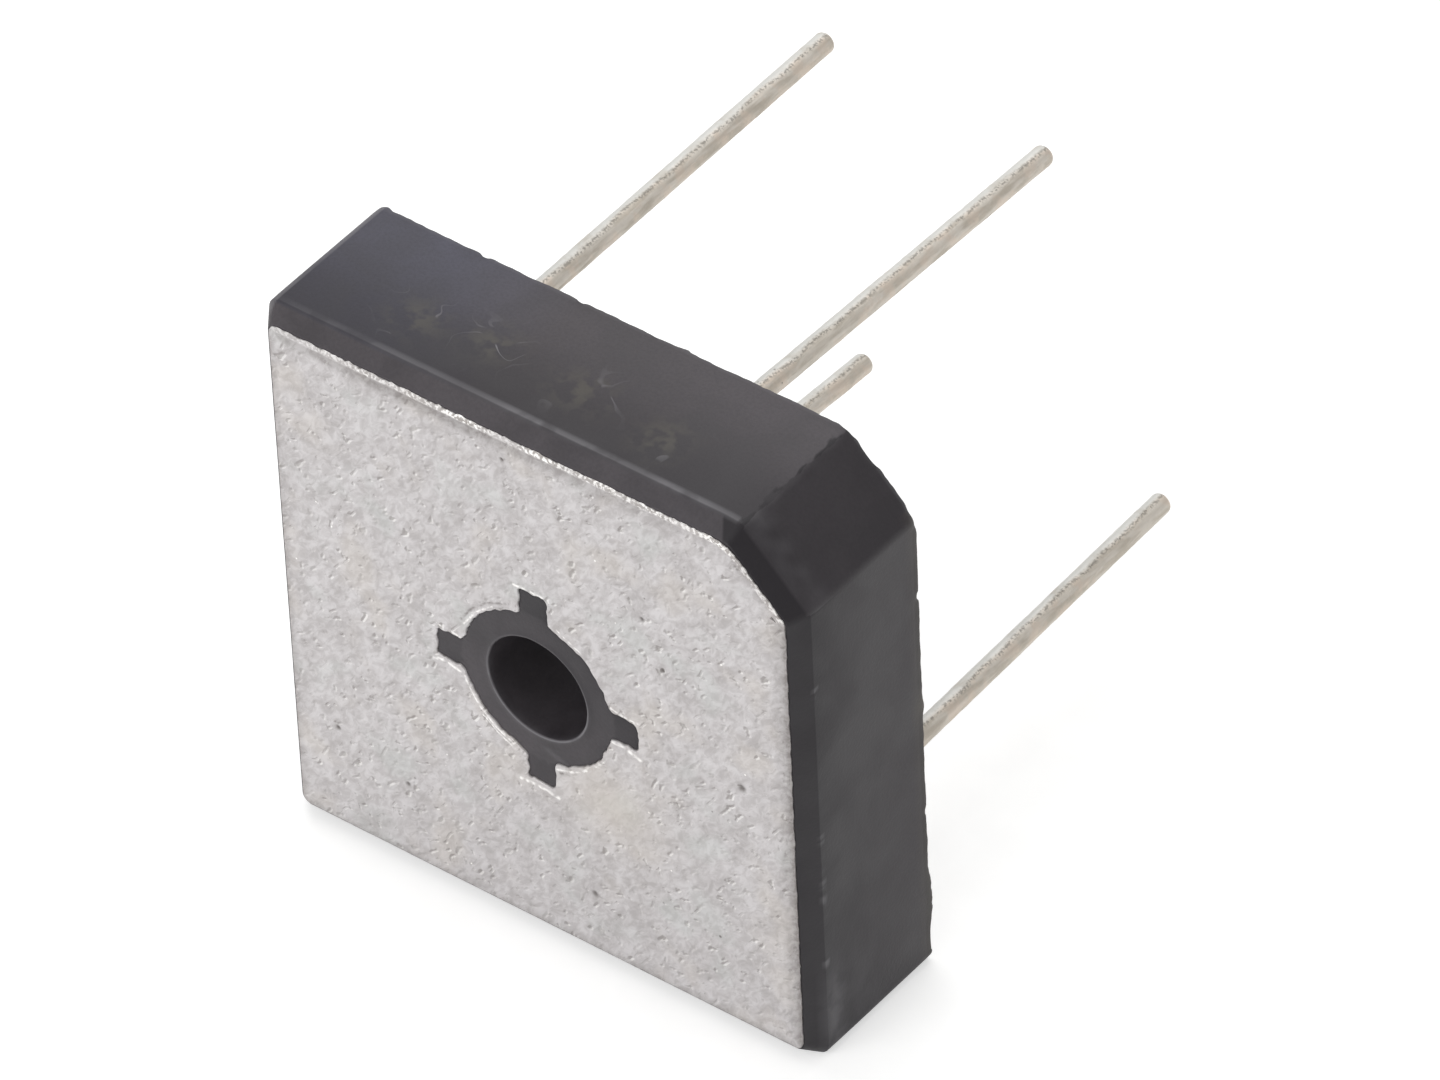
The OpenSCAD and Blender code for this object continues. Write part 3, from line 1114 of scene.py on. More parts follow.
@dataclass(frozen=True)
class Form:
    """Driving sizes that the case and the plate share.

    Args:
        width: outside width and height of the case.
        depth: thickness of the case.
        plate_depth: thickness of the cooling plate.
        bore: radius of the screw hole.
        wall: thickness of the case's walls.
        floor: thickness of the insulating floor behind the plate.
        corner: rounding of the case's long edges.
        cut: leg of the cut corner.
        bevel_depth: depth of the sloped band round the plate.
        bevel_in: how far the band leans inwards.
        lip: width of the case's flat lip round the plate.
        lip_ring: share of the lip's width at which the case's first ring of points lies.
        step: how far the lip and the sleeve lie behind the plate's face.
        plate_corner: rounding of the plate's corners.
        plate_soft_corner: rounding where the plate's cut meets its top edge.
        plate_gap: spacing of the points along the plate's outline.
        sleeve: radius of the sleeve in the plate.
        key_width: width of a key.
        key_span: distance from tip to tip of two opposite keys.
        key_root: rounding where a key meets the sleeve.
        key_tip: rounding of a key's corners.
        tear: depth of the fine teeth that the punch tore in the keyed hole's edge.
        tear_wave: depth of that edge's broader waves.
    """

    width: float
    depth: float
    plate_depth: float
    bore: float
    wall: float = 1.2 * MM
    floor: float = 0.6 * MM
    corner: float = 0.65 * MM
    cut: float = 3.35 * MM
    bevel_depth: float = 0.97 * MM
    bevel_in: float = 0.6 * MM
    lip: float = 0.1 * MM
    lip_ring: float = 0.4
    step: float = 0.1 * MM
    plate_corner: float = 0.45 * MM
    plate_soft_corner: float = 2.2 * MM
    plate_gap: float = 0.14 * MM
    sleeve: float = 4.0 * MM
    key_width: float = 1.5 * MM
    key_span: float = 10.8 * MM
    key_root: float = 0.35 * MM
    key_tip: float = 0.2 * MM
    tear: float = 0.11 * MM
    tear_wave: float = 0.08 * MM

    def inset_cut(self, inset: float) -> float:
        """Leg of the cut corner on an outline that lies inside the case's."""
        return self.cut - inset * (2 - math.sqrt(2))

    def fold_point(self) -> tuple[float, float]:
        """Where the cut corner leaves the case's top edge."""
        return self.width / 2 - self.cut, self.width / 2

    def case_square(self, inset: float = 0.0) -> CutSquare:
        """The case's outline, or a line inside it whose corners turn into the plate's own.

        Args:
            inset: how far the line lies inside the case's outline.

        Returns:
            The square.
        """
        lip_corner = self.plate_corner + (1 - self.lip_ring) * self.lip
        corner = self.corner + (lip_corner - self.corner) * min(1.0, inset / self.bevel_in)
        return CutSquare(self.width - 2 * inset, self.inset_cut(inset), corner)

    def cavity_square(self) -> CutSquare:
        """The outline of the case's inside."""
        return CutSquare(self.width - 2 * self.wall, self.inset_cut(self.wall), self.corner / 2)

    def plate_outline(self) -> Outline:
        """The plate's outline.

        Returns:
            The outline.
        """
        inset = self.bevel_in + self.lip
        width = self.width - 2 * inset
        square = CutSquare(width, self.inset_cut(inset), self.plate_corner, self.plate_soft_corner)
        return square.outline(square.steps(self.plate_gap), turn_steps=14)

    def keyed_outline(self) -> Outline:
        """The keyed hole's outline in the plate.

        Returns:
            The outline.
        """
        ring = KeyedRing(self.sleeve, self.key_width, self.key_span, self.key_root, self.key_tip)
        even = ring.outline(arc_steps=70, side_steps=18, turn_steps=8)
        spread = even.ring(0.0)
        teeth = self.tear * ripple(spread, 0.33 * MM, 71.0)
        waves = self.tear_wave * ripple(spread, 1.1 * MM, 73.0)
        return Outline(even.moved(teeth + waves), even.normals)


@dataclass(frozen=True)
class RimFlaw:
    """A chip or a tongue of flash on the case's back rim.

    Args:
        x: its place across.
        z: its place up.
        length: its length along the rim.
        rise: how far the rim stands out there; a chip has a negative rise.
        dent: how far the wall's edge falls back there.
    """

    x: float
    z: float
    length: float
    rise: float
    dent: float = 0.0

    def shape(self, ring: Array) -> Array:
        """Strength of the flaw at each point of a ring, from 0 to 1."""
        off = np.hypot(ring[:, 0] - self.x, ring[:, 2] - self.z)
        return hill(off, 0, self.length / 2, power=4)


class CaseFaces:
    """Says for each point of the case on which of its faces it lies."""

    def __init__(self, form: Form, spots: Array) -> None:
        """Sorts the points.

        Args:
            form: the driving sizes.
            spots: one row of x, y and z for each point.
        """
        self.spots = spots
        self.x, self.y, self.z = spots.T
        self.far = np.hypot(self.x, self.z)
        half = form.width / 2
        past_cut = (self.x + self.z - (form.width - form.cut)) / math.sqrt(2)
        clear = past_cut < -0.3 * MM
        self.cut = past_cut > -0.12 * MM
        self.top_wall = self.z > half - 0.1 * MM
        self.top = (self.z > half - 0.3 * MM) & clear
        self.right = (self.x > half - 0.3 * MM) & clear
        self.stained = self.x > half - 0.4 * MM
        corner = np.minimum(-self.x, self.z) > half - 0.5 * MM
        self.upper_left_edge = (self.x < 0) & (self.z > 0) & corner
        self.band = self.y < form.bevel_depth - 0.06 * MM
        self.top_band = self.band & (self.z > self.x) & (past_cut < -0.8 * MM)
        self.rim = (self.y > form.depth - 0.1 * MM) & (self.x < half - 0.2 * MM)
        self.sleeve = (self.far < form.key_span / 2 + 0.1 * MM) & (self.y < form.depth / 2)
        self.ridge = hill(self.y, form.bevel_depth + 0.1 * MM, 0.12 * MM)


@dataclass
class MouldedCase(Dressed):
    """The black case: sloped band, walls, rough back rim, floor, and the sleeve with its keys.

    Args:
        form: the driving sizes.
        gap: spacing of the points along the outline.
        turn_steps: number of points on each corner of the outline.
        ridge: rounding of the ridge between the band and the walls.
        rim_round: rounding of the back rim's outer edge.
        mouth: rounding of the screw hole's mouths.
        rim_wave: height of the back rim's ragged waves.
        rim_flash: how far the back rim stands out on the whole.
        fold_wave: how far the fold at the cut corner is knocked in.
        top_film: dust film and painted light on the top wall, which is painted paler than the other walls
            as if lit from above, for some depths in millimetres.
        side_film: dust film and painted light on the other walls, for some depths in millimetres.
        cut_film: dust film and painted light on the cut corner.
        band_film: dust film and painted light on the band's top stretch, which is painted paler than the
            rest of the band as if lit from above.
        sleeve_film: pale tone on the sleeve's face.
        right_wear: stretches of the right ridge with painted highlight and wear, each with its height and
            length in millimetres and its strength.
        smudges: handled places on the top wall, each with its place across, its depth and
            its size in millimetres.
        flaws: the back rim's chips and flash.
    """

    node: ClassVar[str] = "moulded_case"
    finish_slot: ClassVar[str] = "case_epoxy"

    form: Form
    gap: float = 0.13 * MM
    turn_steps: int = 12
    ridge: float = 0.12 * MM
    rim_round: float = 0.1 * MM
    mouth: float = 0.12 * MM
    rim_wave: float = 0.08 * MM
    rim_flash: float = 0.04 * MM
    fold_wave: float = 0.08 * MM
    top_film: Pairs = ((1.3, 0.28), (3.0, 0.4), (4.0, 0.54), (5.5, 0.8), (7.0, 0.97))
    side_film: Pairs = ((1.2, 0.0), (2.0, 0.08), (4.0, 0.25), (6.0, 0.35), (7.9, 0.47), (8.1, 0.0))
    cut_film: float = 0.36
    band_film: float = 0.84
    sleeve_film: float = 0.54
    right_wear: tuple[tuple[float, float, float], ...] = (
        (6.6, 0.25, 0.9),
        (-1.8, 0.25, 0.7),
        (-4.9, 0.9, 0.7),
        (-8.9, 0.3, 0.8),
    )
    smudges: tuple[tuple[float, float, float], ...] = (
        (-4.6, 4.0, 1.2),
        (-8.2, 3.4, 1.3),
        (0.4, 3.7, 1.5),
        (5.0, 3.2, 1.1),
    )
    flaws: tuple[RimFlaw, ...] = (
        RimFlaw(14.4 * MM, 6.7 * MM, 0.5 * MM, -0.1 * MM, 0.05 * MM),
        RimFlaw(14.4 * MM, 0.5 * MM, 0.8 * MM, 0.06 * MM),
        RimFlaw(14.4 * MM, -10.7 * MM, 2.9 * MM, 0.2 * MM),
        RimFlaw(14.2 * MM, -14.2 * MM, 0.8 * MM, 0.16 * MM),
        RimFlaw(12.0 * MM, 13.5 * MM, 1.3 * MM, -0.08 * MM, 0.08 * MM),
        RimFlaw(14.4 * MM, 11.1 * MM, 1.3 * MM, -0.06 * MM, 0.12 * MM),
        RimFlaw(11.1 * MM, 14.4 * MM, 1.1 * MM, -0.05 * MM, 0.06 * MM),
        RimFlaw(-3.2 * MM, 14.4 * MM, 0.4 * MM, -0.07 * MM, 0.03 * MM),
        RimFlaw(2.2 * MM, 14.4 * MM, 0.6 * MM, 0.07 * MM),
        RimFlaw(14.4 * MM, -5.6 * MM, 0.5 * MM, -0.07 * MM, 0.03 * MM),
        RimFlaw(-8.4 * MM, 14.4 * MM, 0.45 * MM, -0.09 * MM, 0.03 * MM),
        RimFlaw(-13.9 * MM, 14.1 * MM, 0.9 * MM, 0.12 * MM),
        RimFlaw(-14.4 * MM, -3.0 * MM, 0.5 * MM, -0.1 * MM, 0.07 * MM),
        RimFlaw(4.0 * MM, -14.4 * MM, 1.6 * MM, 0.1 * MM),
    )

    def shell(self, skin: Skin) -> tuple[Array, Array]:
        """Builds the band, the walls, the rim and the inner wall.

        Args:
            skin: the mesh to add to.

        Returns:
            Numbers of the front lip's ring and of the inner wall's last ring.
        """
        form = self.form
        steps = form.case_square().steps(self.gap)
        rings = [self.shell_ring(steps, inset, depth) for inset, depth in self.wall_profile()]
        numbers = skin.stack(rings)
        cavity = form.cavity_square().outline(steps, self.turn_steps)
        edge = [(0.06 * MM, 0), (0.02 * MM, 0.02 * MM), (0, 0.07 * MM)]
        inner_edge = [self.roughened(cavity, -out, form.depth - back) for out, back in edge]
        face = [rings[-1] + share * (inner_edge[0] - rings[-1]) for share in (0.25, 0.5, 0.75)]
        seat = cavity.ring(form.plate_depth + form.floor)
        inner = skin.stack([*face, *inner_edge, seat], numbers[-1])
        return numbers[0], inner[-1]

    def wall_profile(self) -> Array:
        """Inset and depth of each ring from the lip to the back rim.

        Returns:
            One row for each ring.
        """
        form = self.form
        corners = [
            (form.bevel_in + form.lip_ring * form.lip, form.step, 0),
            (form.bevel_in, form.step, 0.03 * MM),
            (0, form.bevel_depth, self.ridge),
            (0, form.depth, self.rim_round),
            (form.wall / 4, form.depth, 0),
        ]
        return softened(corners, [1, 6, 46, 1], 5, closed=False).points

    def shell_ring(self, steps: Sequence[int], inset: float, depth: float) -> Array:
        """One ring of the shell's outside.

        Args:
            steps: number of points on each straight side.
            inset: how far the ring lies inside the case's outline.
            depth: the ring's plain depth.

        Returns:
            The ring's points.
        """
        form = self.form
        if depth < form.depth / 2:
            return self.roughened(form.case_square(inset).outline(steps, self.turn_steps), 0.0, depth)
        return self.roughened(form.case_square().outline(steps, self.turn_steps), inset, depth)

    def roughened(self, outline: Outline, inset: float, depth: float) -> Array:
        """One ring of the shell, with the waviness of the ridge and the rim's flaws.

        Args:
            outline: the plain outline.
            inset: how far the ring lies inside it.
            depth: the ring's plain depth.

        Returns:
            The ring's points.
        """
        form = self.form
        plain = outline.ring(depth, -inset)
        near_rim = max(0.0, 1 - (form.depth - depth) / (0.45 * MM)) ** 2
        near_ridge = hill(depth, form.bevel_depth, 0.3 * MM)
        near_fold = hill(np.hypot(*(plain[:, [0, 2]] - form.fold_point()).T), 0, 0.6 * MM)
        coarse = ripple(plain * (1, 0, 1), 1.3 * MM, 3.0)
        fine = ripple(plain * (1, 0, 1), 0.35 * MM, 9.0)
        rise = near_rim * (self.rim_flash + self.rim_wave * (0.7 * coarse + 0.75 * fine))
        dent = near_rim * 0.02 * MM * (1 + fine) + near_ridge * 0.012 * MM * (1 + coarse)
        dent = dent + 0.006 * MM * (1 + ripple(plain, 2.2 * MM, 5.0))
        wall = min(1.0, (depth - form.step) / (form.bevel_depth - form.step))
        dent = dent + wall * near_fold * self.fold_wave * (0.8 + ripple(plain, 0.9 * MM, 6.0))
        for flaw in self.flaws:
            shape = flaw.shape(plain) * near_rim * (1 + 0.25 * fine)
            rise = rise + shape * flaw.rise
            dent = dent + shape * flaw.dent
        return outline.ring(depth + rise, -inset - dent)

    def build(self) -> Object:
        """Builds the case as one closed mesh.

        Returns:
            The object.
        """
        form = self.form
        skin = Skin()
        lip, inner = self.shell(skin)
        plate = form.plate_outline()
        seat = skin.stack([plate.ring(d) for d in (form.step, 0.5 * form.plate_depth, form.plate_depth)])
        skin.fill([lip, seat[0]])
        keyed = form.keyed_outline()
        keys = skin.stack(self.key_rings(keyed))
        skin.fill([seat[-1], keys[0]])
        rings = skin.stack(self.sleeve_rings())
        spread = scattered(-form.key_span / 2, form.key_span / 2, 0.16 * MM, 4)
        clear_of_bore = np.hypot(*spread.T) > form.bore + 2.2 * self.mouth + 0.12 * MM
        keep = inside(spread, keyed.moved(-0.16 * MM)) & clear_of_bore
        skin.fill([keys[-1], rings[0]], spread[keep], self.ring_depth)
        skin.fill([inner, rings[-1]])
        case = skin.piece("moulded_case_shell")
        self.add_marks(case)
        return case

    def key_rings(self, keyed: Outline) -> list[Array]:
        """Rings up the sleeve's outside in the plate, rounded at its front edge.

        Args:
            keyed: the keyed hole's outline.

        Returns:
            The rings' points.
        """
        top = self.form.step
        rows = [
            (0.0, self.form.plate_depth),
            (0.0, top + 0.06 * MM),
            (0.015 * MM, top + 0.015 * MM),
            (0.06 * MM, top),
        ]
        return [keyed.ring(depth, -inset) for inset, depth in rows]

    def ring_depth(self, spots: Array) -> Array:
        """Depth of the sleeve's front face, which waves a little, at each x and z."""
        return self.form.step + 0.012 * MM * ripple(standing(spots), 1.1 * MM, 21.0)

    def sleeve_rings(self) -> list[Array]:
        """Rings from the front mouth through the bore and back along the sleeve's outside.

        Returns:
            The rings' points.
        """
        form = self.form
        lip = form.step - 0.03 * MM
        corners = [
            (form.bore + 2.2 * self.mouth, form.step, 0),
            (form.bore + 1.2 * self.mouth, lip, 0.08 * MM),
            (form.bore, lip, 0.09 * MM),
            (form.bore, form.depth, self.mouth * 0.8),
            (form.sleeve, form.depth, 0.1 * MM),
            (form.sleeve, form.plate_depth + form.floor, 0),
        ]
        profile = softened(corners, [1, 1, 24, 6, 8], 6, closed=False).points
        base = circle(1.0, 160)
        rings = []
        for radius, depth in profile:
            ring = base.ring(depth, radius - 1.0)
            rough = 0.005 * ripple(ring, 1.5 * MM, 31.0) + 0.006 * ripple(ring, 0.4 * MM, 33.0)
            ring[:, [0, 2]] *= (1 + rough)[:, None]
            rings.append(ring)
        return rings

    def add_marks(self, case: Object) -> None:
        """Stores where the case has dust film and painted light, haze, painted highlights and wear,
        smudges and stains.

        Args:
            case: the case's object.
        """
        faces = CaseFaces(self.form, places(case))
        mark(case, "haze", faces.top_wall * np.clip((-faces.x - 3 * MM) / (6 * MM), 0, 1))
        mark(case, "scuff", self.scuffs(faces))
        mark(case, "bloom", self.film(faces))
        rub = self.worn_ridges(faces) + self.worn_sleeve(faces) + self.worn_walls(faces)
        mark(case, "rub", np.clip(rub, 0, 1))
        mark(case, "stain", np.clip(self.stains(faces), 0, 1))

    def film(self, faces: CaseFaces) -> Array:
        """Strength of the pale tone at each point, dust film and painted light: the top wall and the
        band's top stretch are painted paler, as if lit from above, and the rest of the band stays dark;
        it ends raggedly at the cut corner.

        Args:
            faces: the case's points, sorted by face.

        Returns:
            The strengths, from 0 to 1.
        """
        form = self.form
        # painted light: the top wall is painted paler than the other walls, as if lit from above
        film = np.interp(faces.y / MM, *zip(*self.side_film))
        top = faces.top_wall
        film[top] = np.interp(faces.y[top] / MM, *zip(*self.top_film))
        # the top wall's painted light ends raggedly at the fold of the cut corner
        ragged = 0.22 * MM * ripple(faces.spots, 0.4 * MM, 27.0)
        ragged += 0.16 * MM * ripple(faces.spots, 1.1 * MM, 28.0)
        to_fold = form.fold_point()[0] - faces.x - 0.1 * MM - ragged
        film[top] *= np.clip(to_fold[top] / (0.1 * MM), 0, 1)
        # painted light: the cut corner and the band's top stretch get their own shares, and the rest of
        # the band stays dark
        film[faces.cut] = self.cut_film
        film[faces.band] = 0.0
        film[faces.top_band] = self.band_film
        face = faces.sleeve
        low_left = -(0.6 * faces.x + 0.8 * faces.z) / form.sleeve
        keys = faces.far > form.sleeve + 0.1 * MM
        worn = self.sleeve_film + 0.25 * low_left - 0.25 * keys
        film[face] = np.clip(worn[face] + 0.2 * ripple(faces.spots[face], 1.1 * MM, 22.0), 0, 1)
        return film

    def worn_ridges(self, faces: CaseFaces) -> Array:
        """Strength of the painted highlight on the ridge along the top, and of painted highlight and wear
        on the right ridge.

        Args:
            faces: the case's points, sorted by face.

        Returns:
            The strengths.
        """
        # painted highlight along the ridge above the top band
        along_top = np.clip(1.25 - np.abs(faces.x - 3 * MM) / (15 * MM), 0, 1)
        uneven = np.clip(0.9 + 0.6 * ripple(faces.spots * (1, 0, 1), 2.4 * MM, 29.0), 0.5, 1)
        wear = 0.95 * faces.ridge * faces.top * along_top * uneven
        speckled = np.clip(0.2 + 2.5 * ripple(faces.spots * (1, 0.4, 1), 0.35 * MM, 26.0), 0, 1)
        for height, length, strength in self.right_wear:
            wear += strength * speckled * faces.ridge * faces.right * hill(faces.z / MM, height, length)
        return wear

    def worn_sleeve(self, faces: CaseFaces) -> Array:
        """Strength of the painted highlight on the hole's front mouth, with a pale swirl below it.

        Args:
            faces: the case's points, sorted by face.

        Returns:
            The strengths.
        """
        x, y, z = faces.x, faces.y, faces.z
        tilted = z + 0.3 * (x - 0.7 * MM)
        swirl = hill(x, 0.7 * MM, 0.7 * MM) * hill(tilted, -3.5 * MM, 0.14 * MM)
        # painted highlight round the hole's front mouth, strongest low down
        mouth = hill(faces.far, self.form.bore + 0.07 * MM, 0.05 * MM)
        low = np.clip(0.75 - z / self.form.bore, 0.25, 1)
        return 0.3 * swirl * (y < 0.3 * MM) + 0.9 * mouth * low * (y < 0.2 * MM)

    def worn_walls(self, faces: CaseFaces) -> Array:
        """Strength of the pale patches on the cut corner, the painted highlight on the upper left edge,
        the painted light on the right wall's foot and the paler back rim.

        Args:
            faces: the case's points, sorted by face.

        Returns:
            The strengths.
        """
        y, z = faces.y, faces.z
        patchy = np.clip(0.5 + ripple(faces.spots, 0.9 * MM, 24.0), 0, 1)
        cut = 0.22 * patchy * faces.cut * hill(y, 1.6 * MM, 0.6 * MM)
        # painted light on the right wall's foot, where the floor shades it
        foot = 0.45 * hill(z, -12 * MM, 2.4 * MM) * hill(y, 1.5 * MM, 0.6 * MM)
        foot += 0.1 * hill(z, -12.5 * MM, 2.5 * MM) * hill(y, 3.2 * MM, 1.8 * MM)
        # painted highlight along the upper left edge; the cut corner and the back rim are only made paler
        return cut + foot * faces.right + 0.5 * faces.upper_left_edge + 0.2 * faces.rim

    def stains(self, faces: CaseFaces) -> Array:
        """Strength of the brown stain along the right wall's back edge."""
        edge = np.clip(1 - (self.form.depth - faces.y) / (0.9 * MM), 0, 1)
        return faces.stained * edge * (0.4 + 0.5 * hill(faces.z, 0.5 * MM, 0.7 * MM))

    def scuffs(self, faces: CaseFaces) -> Array:
        """Strength of the smudges on the top wall.

        Args:
            faces: the case's points, sorted by face.

        Returns:
            The strengths.
        """
        scuffs = np.zeros(len(faces.spots))
        for across, depth, size in self.smudges:
            smudge = hill(faces.x / MM, across, size) * hill(faces.y / MM, depth, 1.1)
            scuffs = np.maximum(scuffs, smudge * faces.top_wall)
        return scuffs


@dataclass(frozen=True)
class Pit:
    """A small round dent in the plate's face.

    Args:
        x: its place across.
        z: its place up.
        radius: its radius.
    """

    x: float
    z: float
    radius: float

    def away(self, spots: Array) -> Array:
        """Distance from each place, given as x and z, to the dent's middle."""
        return np.hypot(spots[:, 0] - self.x, spots[:, 1] - self.z)

    def shape(self, spots: Array) -> Array:
        """Strength of the dent at each place, from 0 to 1."""
        return hill(self.away(spots), 0, self.radius, power=3)


@dataclass(frozen=True)
class Scar:
    """A line that the punch tore in the plate's face, given in millimetres.

    Args:
        path: x and z of its corners.
        width: its width.
        lift: 1 for a raised line that is painted bright, and -1 for a groove painted with shade.
    """

    path: Pairs
    width: float
    lift: float = 1.0

    def away(self, spots: Array) -> Array:
        """Distance from each place to the scar's line.

        Args:
            spots: one row of x and z for each place.

        Returns:
            The distances.
        """
        line = np.array(self.path) * MM
        best = np.full(len(spots), np.inf)
        for start, end in zip(line, line[1:]):
            best = np.minimum(best, to_segment(spots, start, end))
        return best

    def shape(self, spots: Array) -> Array:
        """Strength of the scar at each place, from 0 to 1; it is ragged and broken."""
        whole = np.clip(0.6 + 1.6 * ripple(standing(spots), 0.2 * MM, 91.0), 0, 1)
        return whole * hill(self.away(spots), 0, 0.5 * self.width * MM, power=4)


@dataclass
class CoolingPlate(Dressed):
    """The flat metal plate, with burred edges and a few dents.

    The face lies a little behind the burr's highest points. A point counts as on the face
    down to the depth called front, and tinge is the middle of a warm stain, in millimetres.
    """

    node: ClassVar[str] = "base_plate"
    finish_slot: ClassVar[str] = "cooling_plate"

    form: Form
    face: float = 0.03 * MM
    wave: float = 0.006 * MM
    jut: float = 0.09 * MM
    pit_depth: float = 0.05 * MM
    hole_round: float = 0.05 * MM
    gap: float = 0.22 * MM
    fine_gap: float = 0.06 * MM
    pit_gap: float = 0.05 * MM
    scar_reach: float = 6.2 * MM
    front: float = 0.12 * MM
    tinge: tuple[float, float] = (3.8, -4.8)
    pits: tuple[Pit, ...] = (
        Pit(11.0 * MM, 0.1 * MM, 0.2 * MM),
        Pit(2.6 * MM, -10.5 * MM, 0.17 * MM),
        Pit(6.0 * MM, 7.1 * MM, 0.12 * MM),
        Pit(-1.2 * MM, 12.4 * MM, 0.1 * MM),
        Pit(-11.4 * MM, -8.2 * MM, 0.14 * MM),
        Pit(-7.6 * MM, -9.5 * MM, 0.13 * MM),
        Pit(7.0 * MM, 4.7 * MM, 0.13 * MM),
    )
    scars: tuple[Scar, ...] = (
        Scar(((-0.95, 5.5), (-0.1, 5.56), (0.85, 5.5)), 0.13),
        Scar(((-1.15, -5.72), (-0.3, -5.66), (0.9, -5.8)), 0.17),
        Scar(((-5.75, -1.1), (-5.1, -0.95), (-4.2, -1.15)), 0.15),
        Scar(((4.1, -0.88), (4.65, -0.88), (5.55, -1.2)), 0.2),
        Scar(((4.05, 1.05), (4.6, 0.9), (5.5, 0.88)), 0.09),
        Scar(((-5.2, 1.0), (-4.5, 0.95), (-4.1, 0.85)), 0.1),
        Scar(((-3.95, -1.3), (-3.78, -1.77), (-3.19, -2.68), (-2.39, -3.41), (-1.43, -3.92)), 0.1),
        Scar(((-3.05, -3.05), (-2.3, -3.68), (-1.4, -4.12)), 0.1),
        Scar(((-3.0, -3.18), (-2.35, -3.72)), 0.07, -1.0),
        Scar(((0.9, -4.14), (1.85, -3.84), (2.8, -3.17), (3.55, -2.3)), 0.09),
        Scar(((0.95, -4.34), (1.75, -4.1)), 0.13, -1.0),
        Scar(((-4.0, 1.95), (-3.3, 2.95), (-2.5, 3.65), (-1.3, 4.2)), 0.12, -1.0),
        Scar(((-3.85, 1.75), (-3.15, 2.8), (-2.2, 3.6)), 0.08),
        Scar(((1.3, 4.05), (2.6, 3.35)), 0.08),
    )

    def level(self, spots: Array) -> Array:
        """Depth of the plate's face.

        Args:
            spots: one row of x and z for each place.

        Returns:
            The depth at each place, with its soft waves and dents.
        """
        spread = standing(spots)
        depth = self.face + self.wave * ripple(spread, 0.9 * MM, 12.0)
        depth += self.wave * ripple(spread, 4 * MM, 2.0)
        for pit in self.pits:
            depth += self.pit_depth * pit.shape(spots)
        for scar in self.scars:
            depth -= scar.lift * 0.8 * self.face * scar.shape(spots)
        return np.maximum(depth, 0)

    def torn(self, outline: Outline, strength: Array) -> Array:
        """How far the sheared edge juts out over its neighbour at each point.

        Args:
            outline: the edge.
            strength: height of the bead at each point, from 0 to 1.

        Returns:
            The distance, drawn along the outline's normals.
        """
        spread = outline.ring(0.0)
        jag = 0.7 * ripple(spread, 0.2 * MM, 80.0) + 0.7 * ripple(spread, 0.6 * MM, 83.0)
        return self.jut * strength * np.clip(0.35 + jag, -0.3, 1.0)

    def bead_rings(
        self, outline: Outline, rows: Sequence[tuple[float, float]], strength: Array
    ) -> list[Array]:
        """Rings of an edge with a raised, ragged bead.

        Args:
            outline: the edge.
            rows: distance inside the edge, and share of the bead's height, for each ring.
            strength: height of the bead at each point, from 0 to 1.

        Returns:
            The rings' points.
        """
        rings = []
        for off, share in rows:
            ring = outline.ring(self.level(outline.moved(-off)), -off)
            ragged = 0.7 + 0.8 * ripple(ring, 0.16 * MM, 40.0) + 0.4 * ripple(ring, 0.6 * MM, 44.0)
            lift = share * strength * np.clip(ragged, 0.0, 1.2)
            ring[:, 1] = np.maximum(ring[:, 1] - lift * self.face, 0)
            rings.append(ring)
        return rings

    def outer_strength(self, outline: Outline) -> Array:
        """Height of the bead along the plate's outer edge: high on top, low elsewhere."""
        up, right = outline.normals[:, 1], outline.normals[:, 0]
        return np.clip(0.12 + 0.95 * np.clip(up, 0, 1) ** 2 + 0.4 * np.clip(right, 0, 1), 0, 1)

    def outer_rings(self, outer: Outline) -> list[Array]:
        """Rings up the plate's outer side and over its bead on to the face.

        Args:
            outer: the plate's outline.

        Returns:
            The rings' points.
        """
        back = self.form.plate_depth
        high = self.outer_strength(outer)
        jag = self.torn(outer, high)
        side = [outer.ring(back), outer.ring(0.5 * back), outer.ring(0.11 * MM)]
        side += [outer.ring(0.08 * MM, jag), outer.ring(0.035 * MM, jag - 0.01 * MM)]
        rows = [
            (0.05 * MM, 0.6),
            (0.1 * MM, 1.0),
            (0.18 * MM, 1.0),
            (0.24 * MM, 0.5),
            (0.3 * MM, -0.3),
            (0.36 * MM, -0.9),
            (0.43 * MM, -0.8),
        ]
        return [*side, *self.bead_rings(outer, rows, high)]

    def hole_rings(self, keyed: Outline) -> list[Array]:
        """Rings up the keyed hole's side to the face.

        Args:
            keyed: the keyed hole's outline.

        Returns:
            The rings' points.
        """
        face = keyed.moved(self.hole_round)
        side = [keyed.ring(self.form.plate_depth), keyed.ring(0.12 * MM)]
        return [*side, keyed.ring(0.06 * MM, 0.02 * MM), keyed.ring(self.level(face), self.hole_round)]

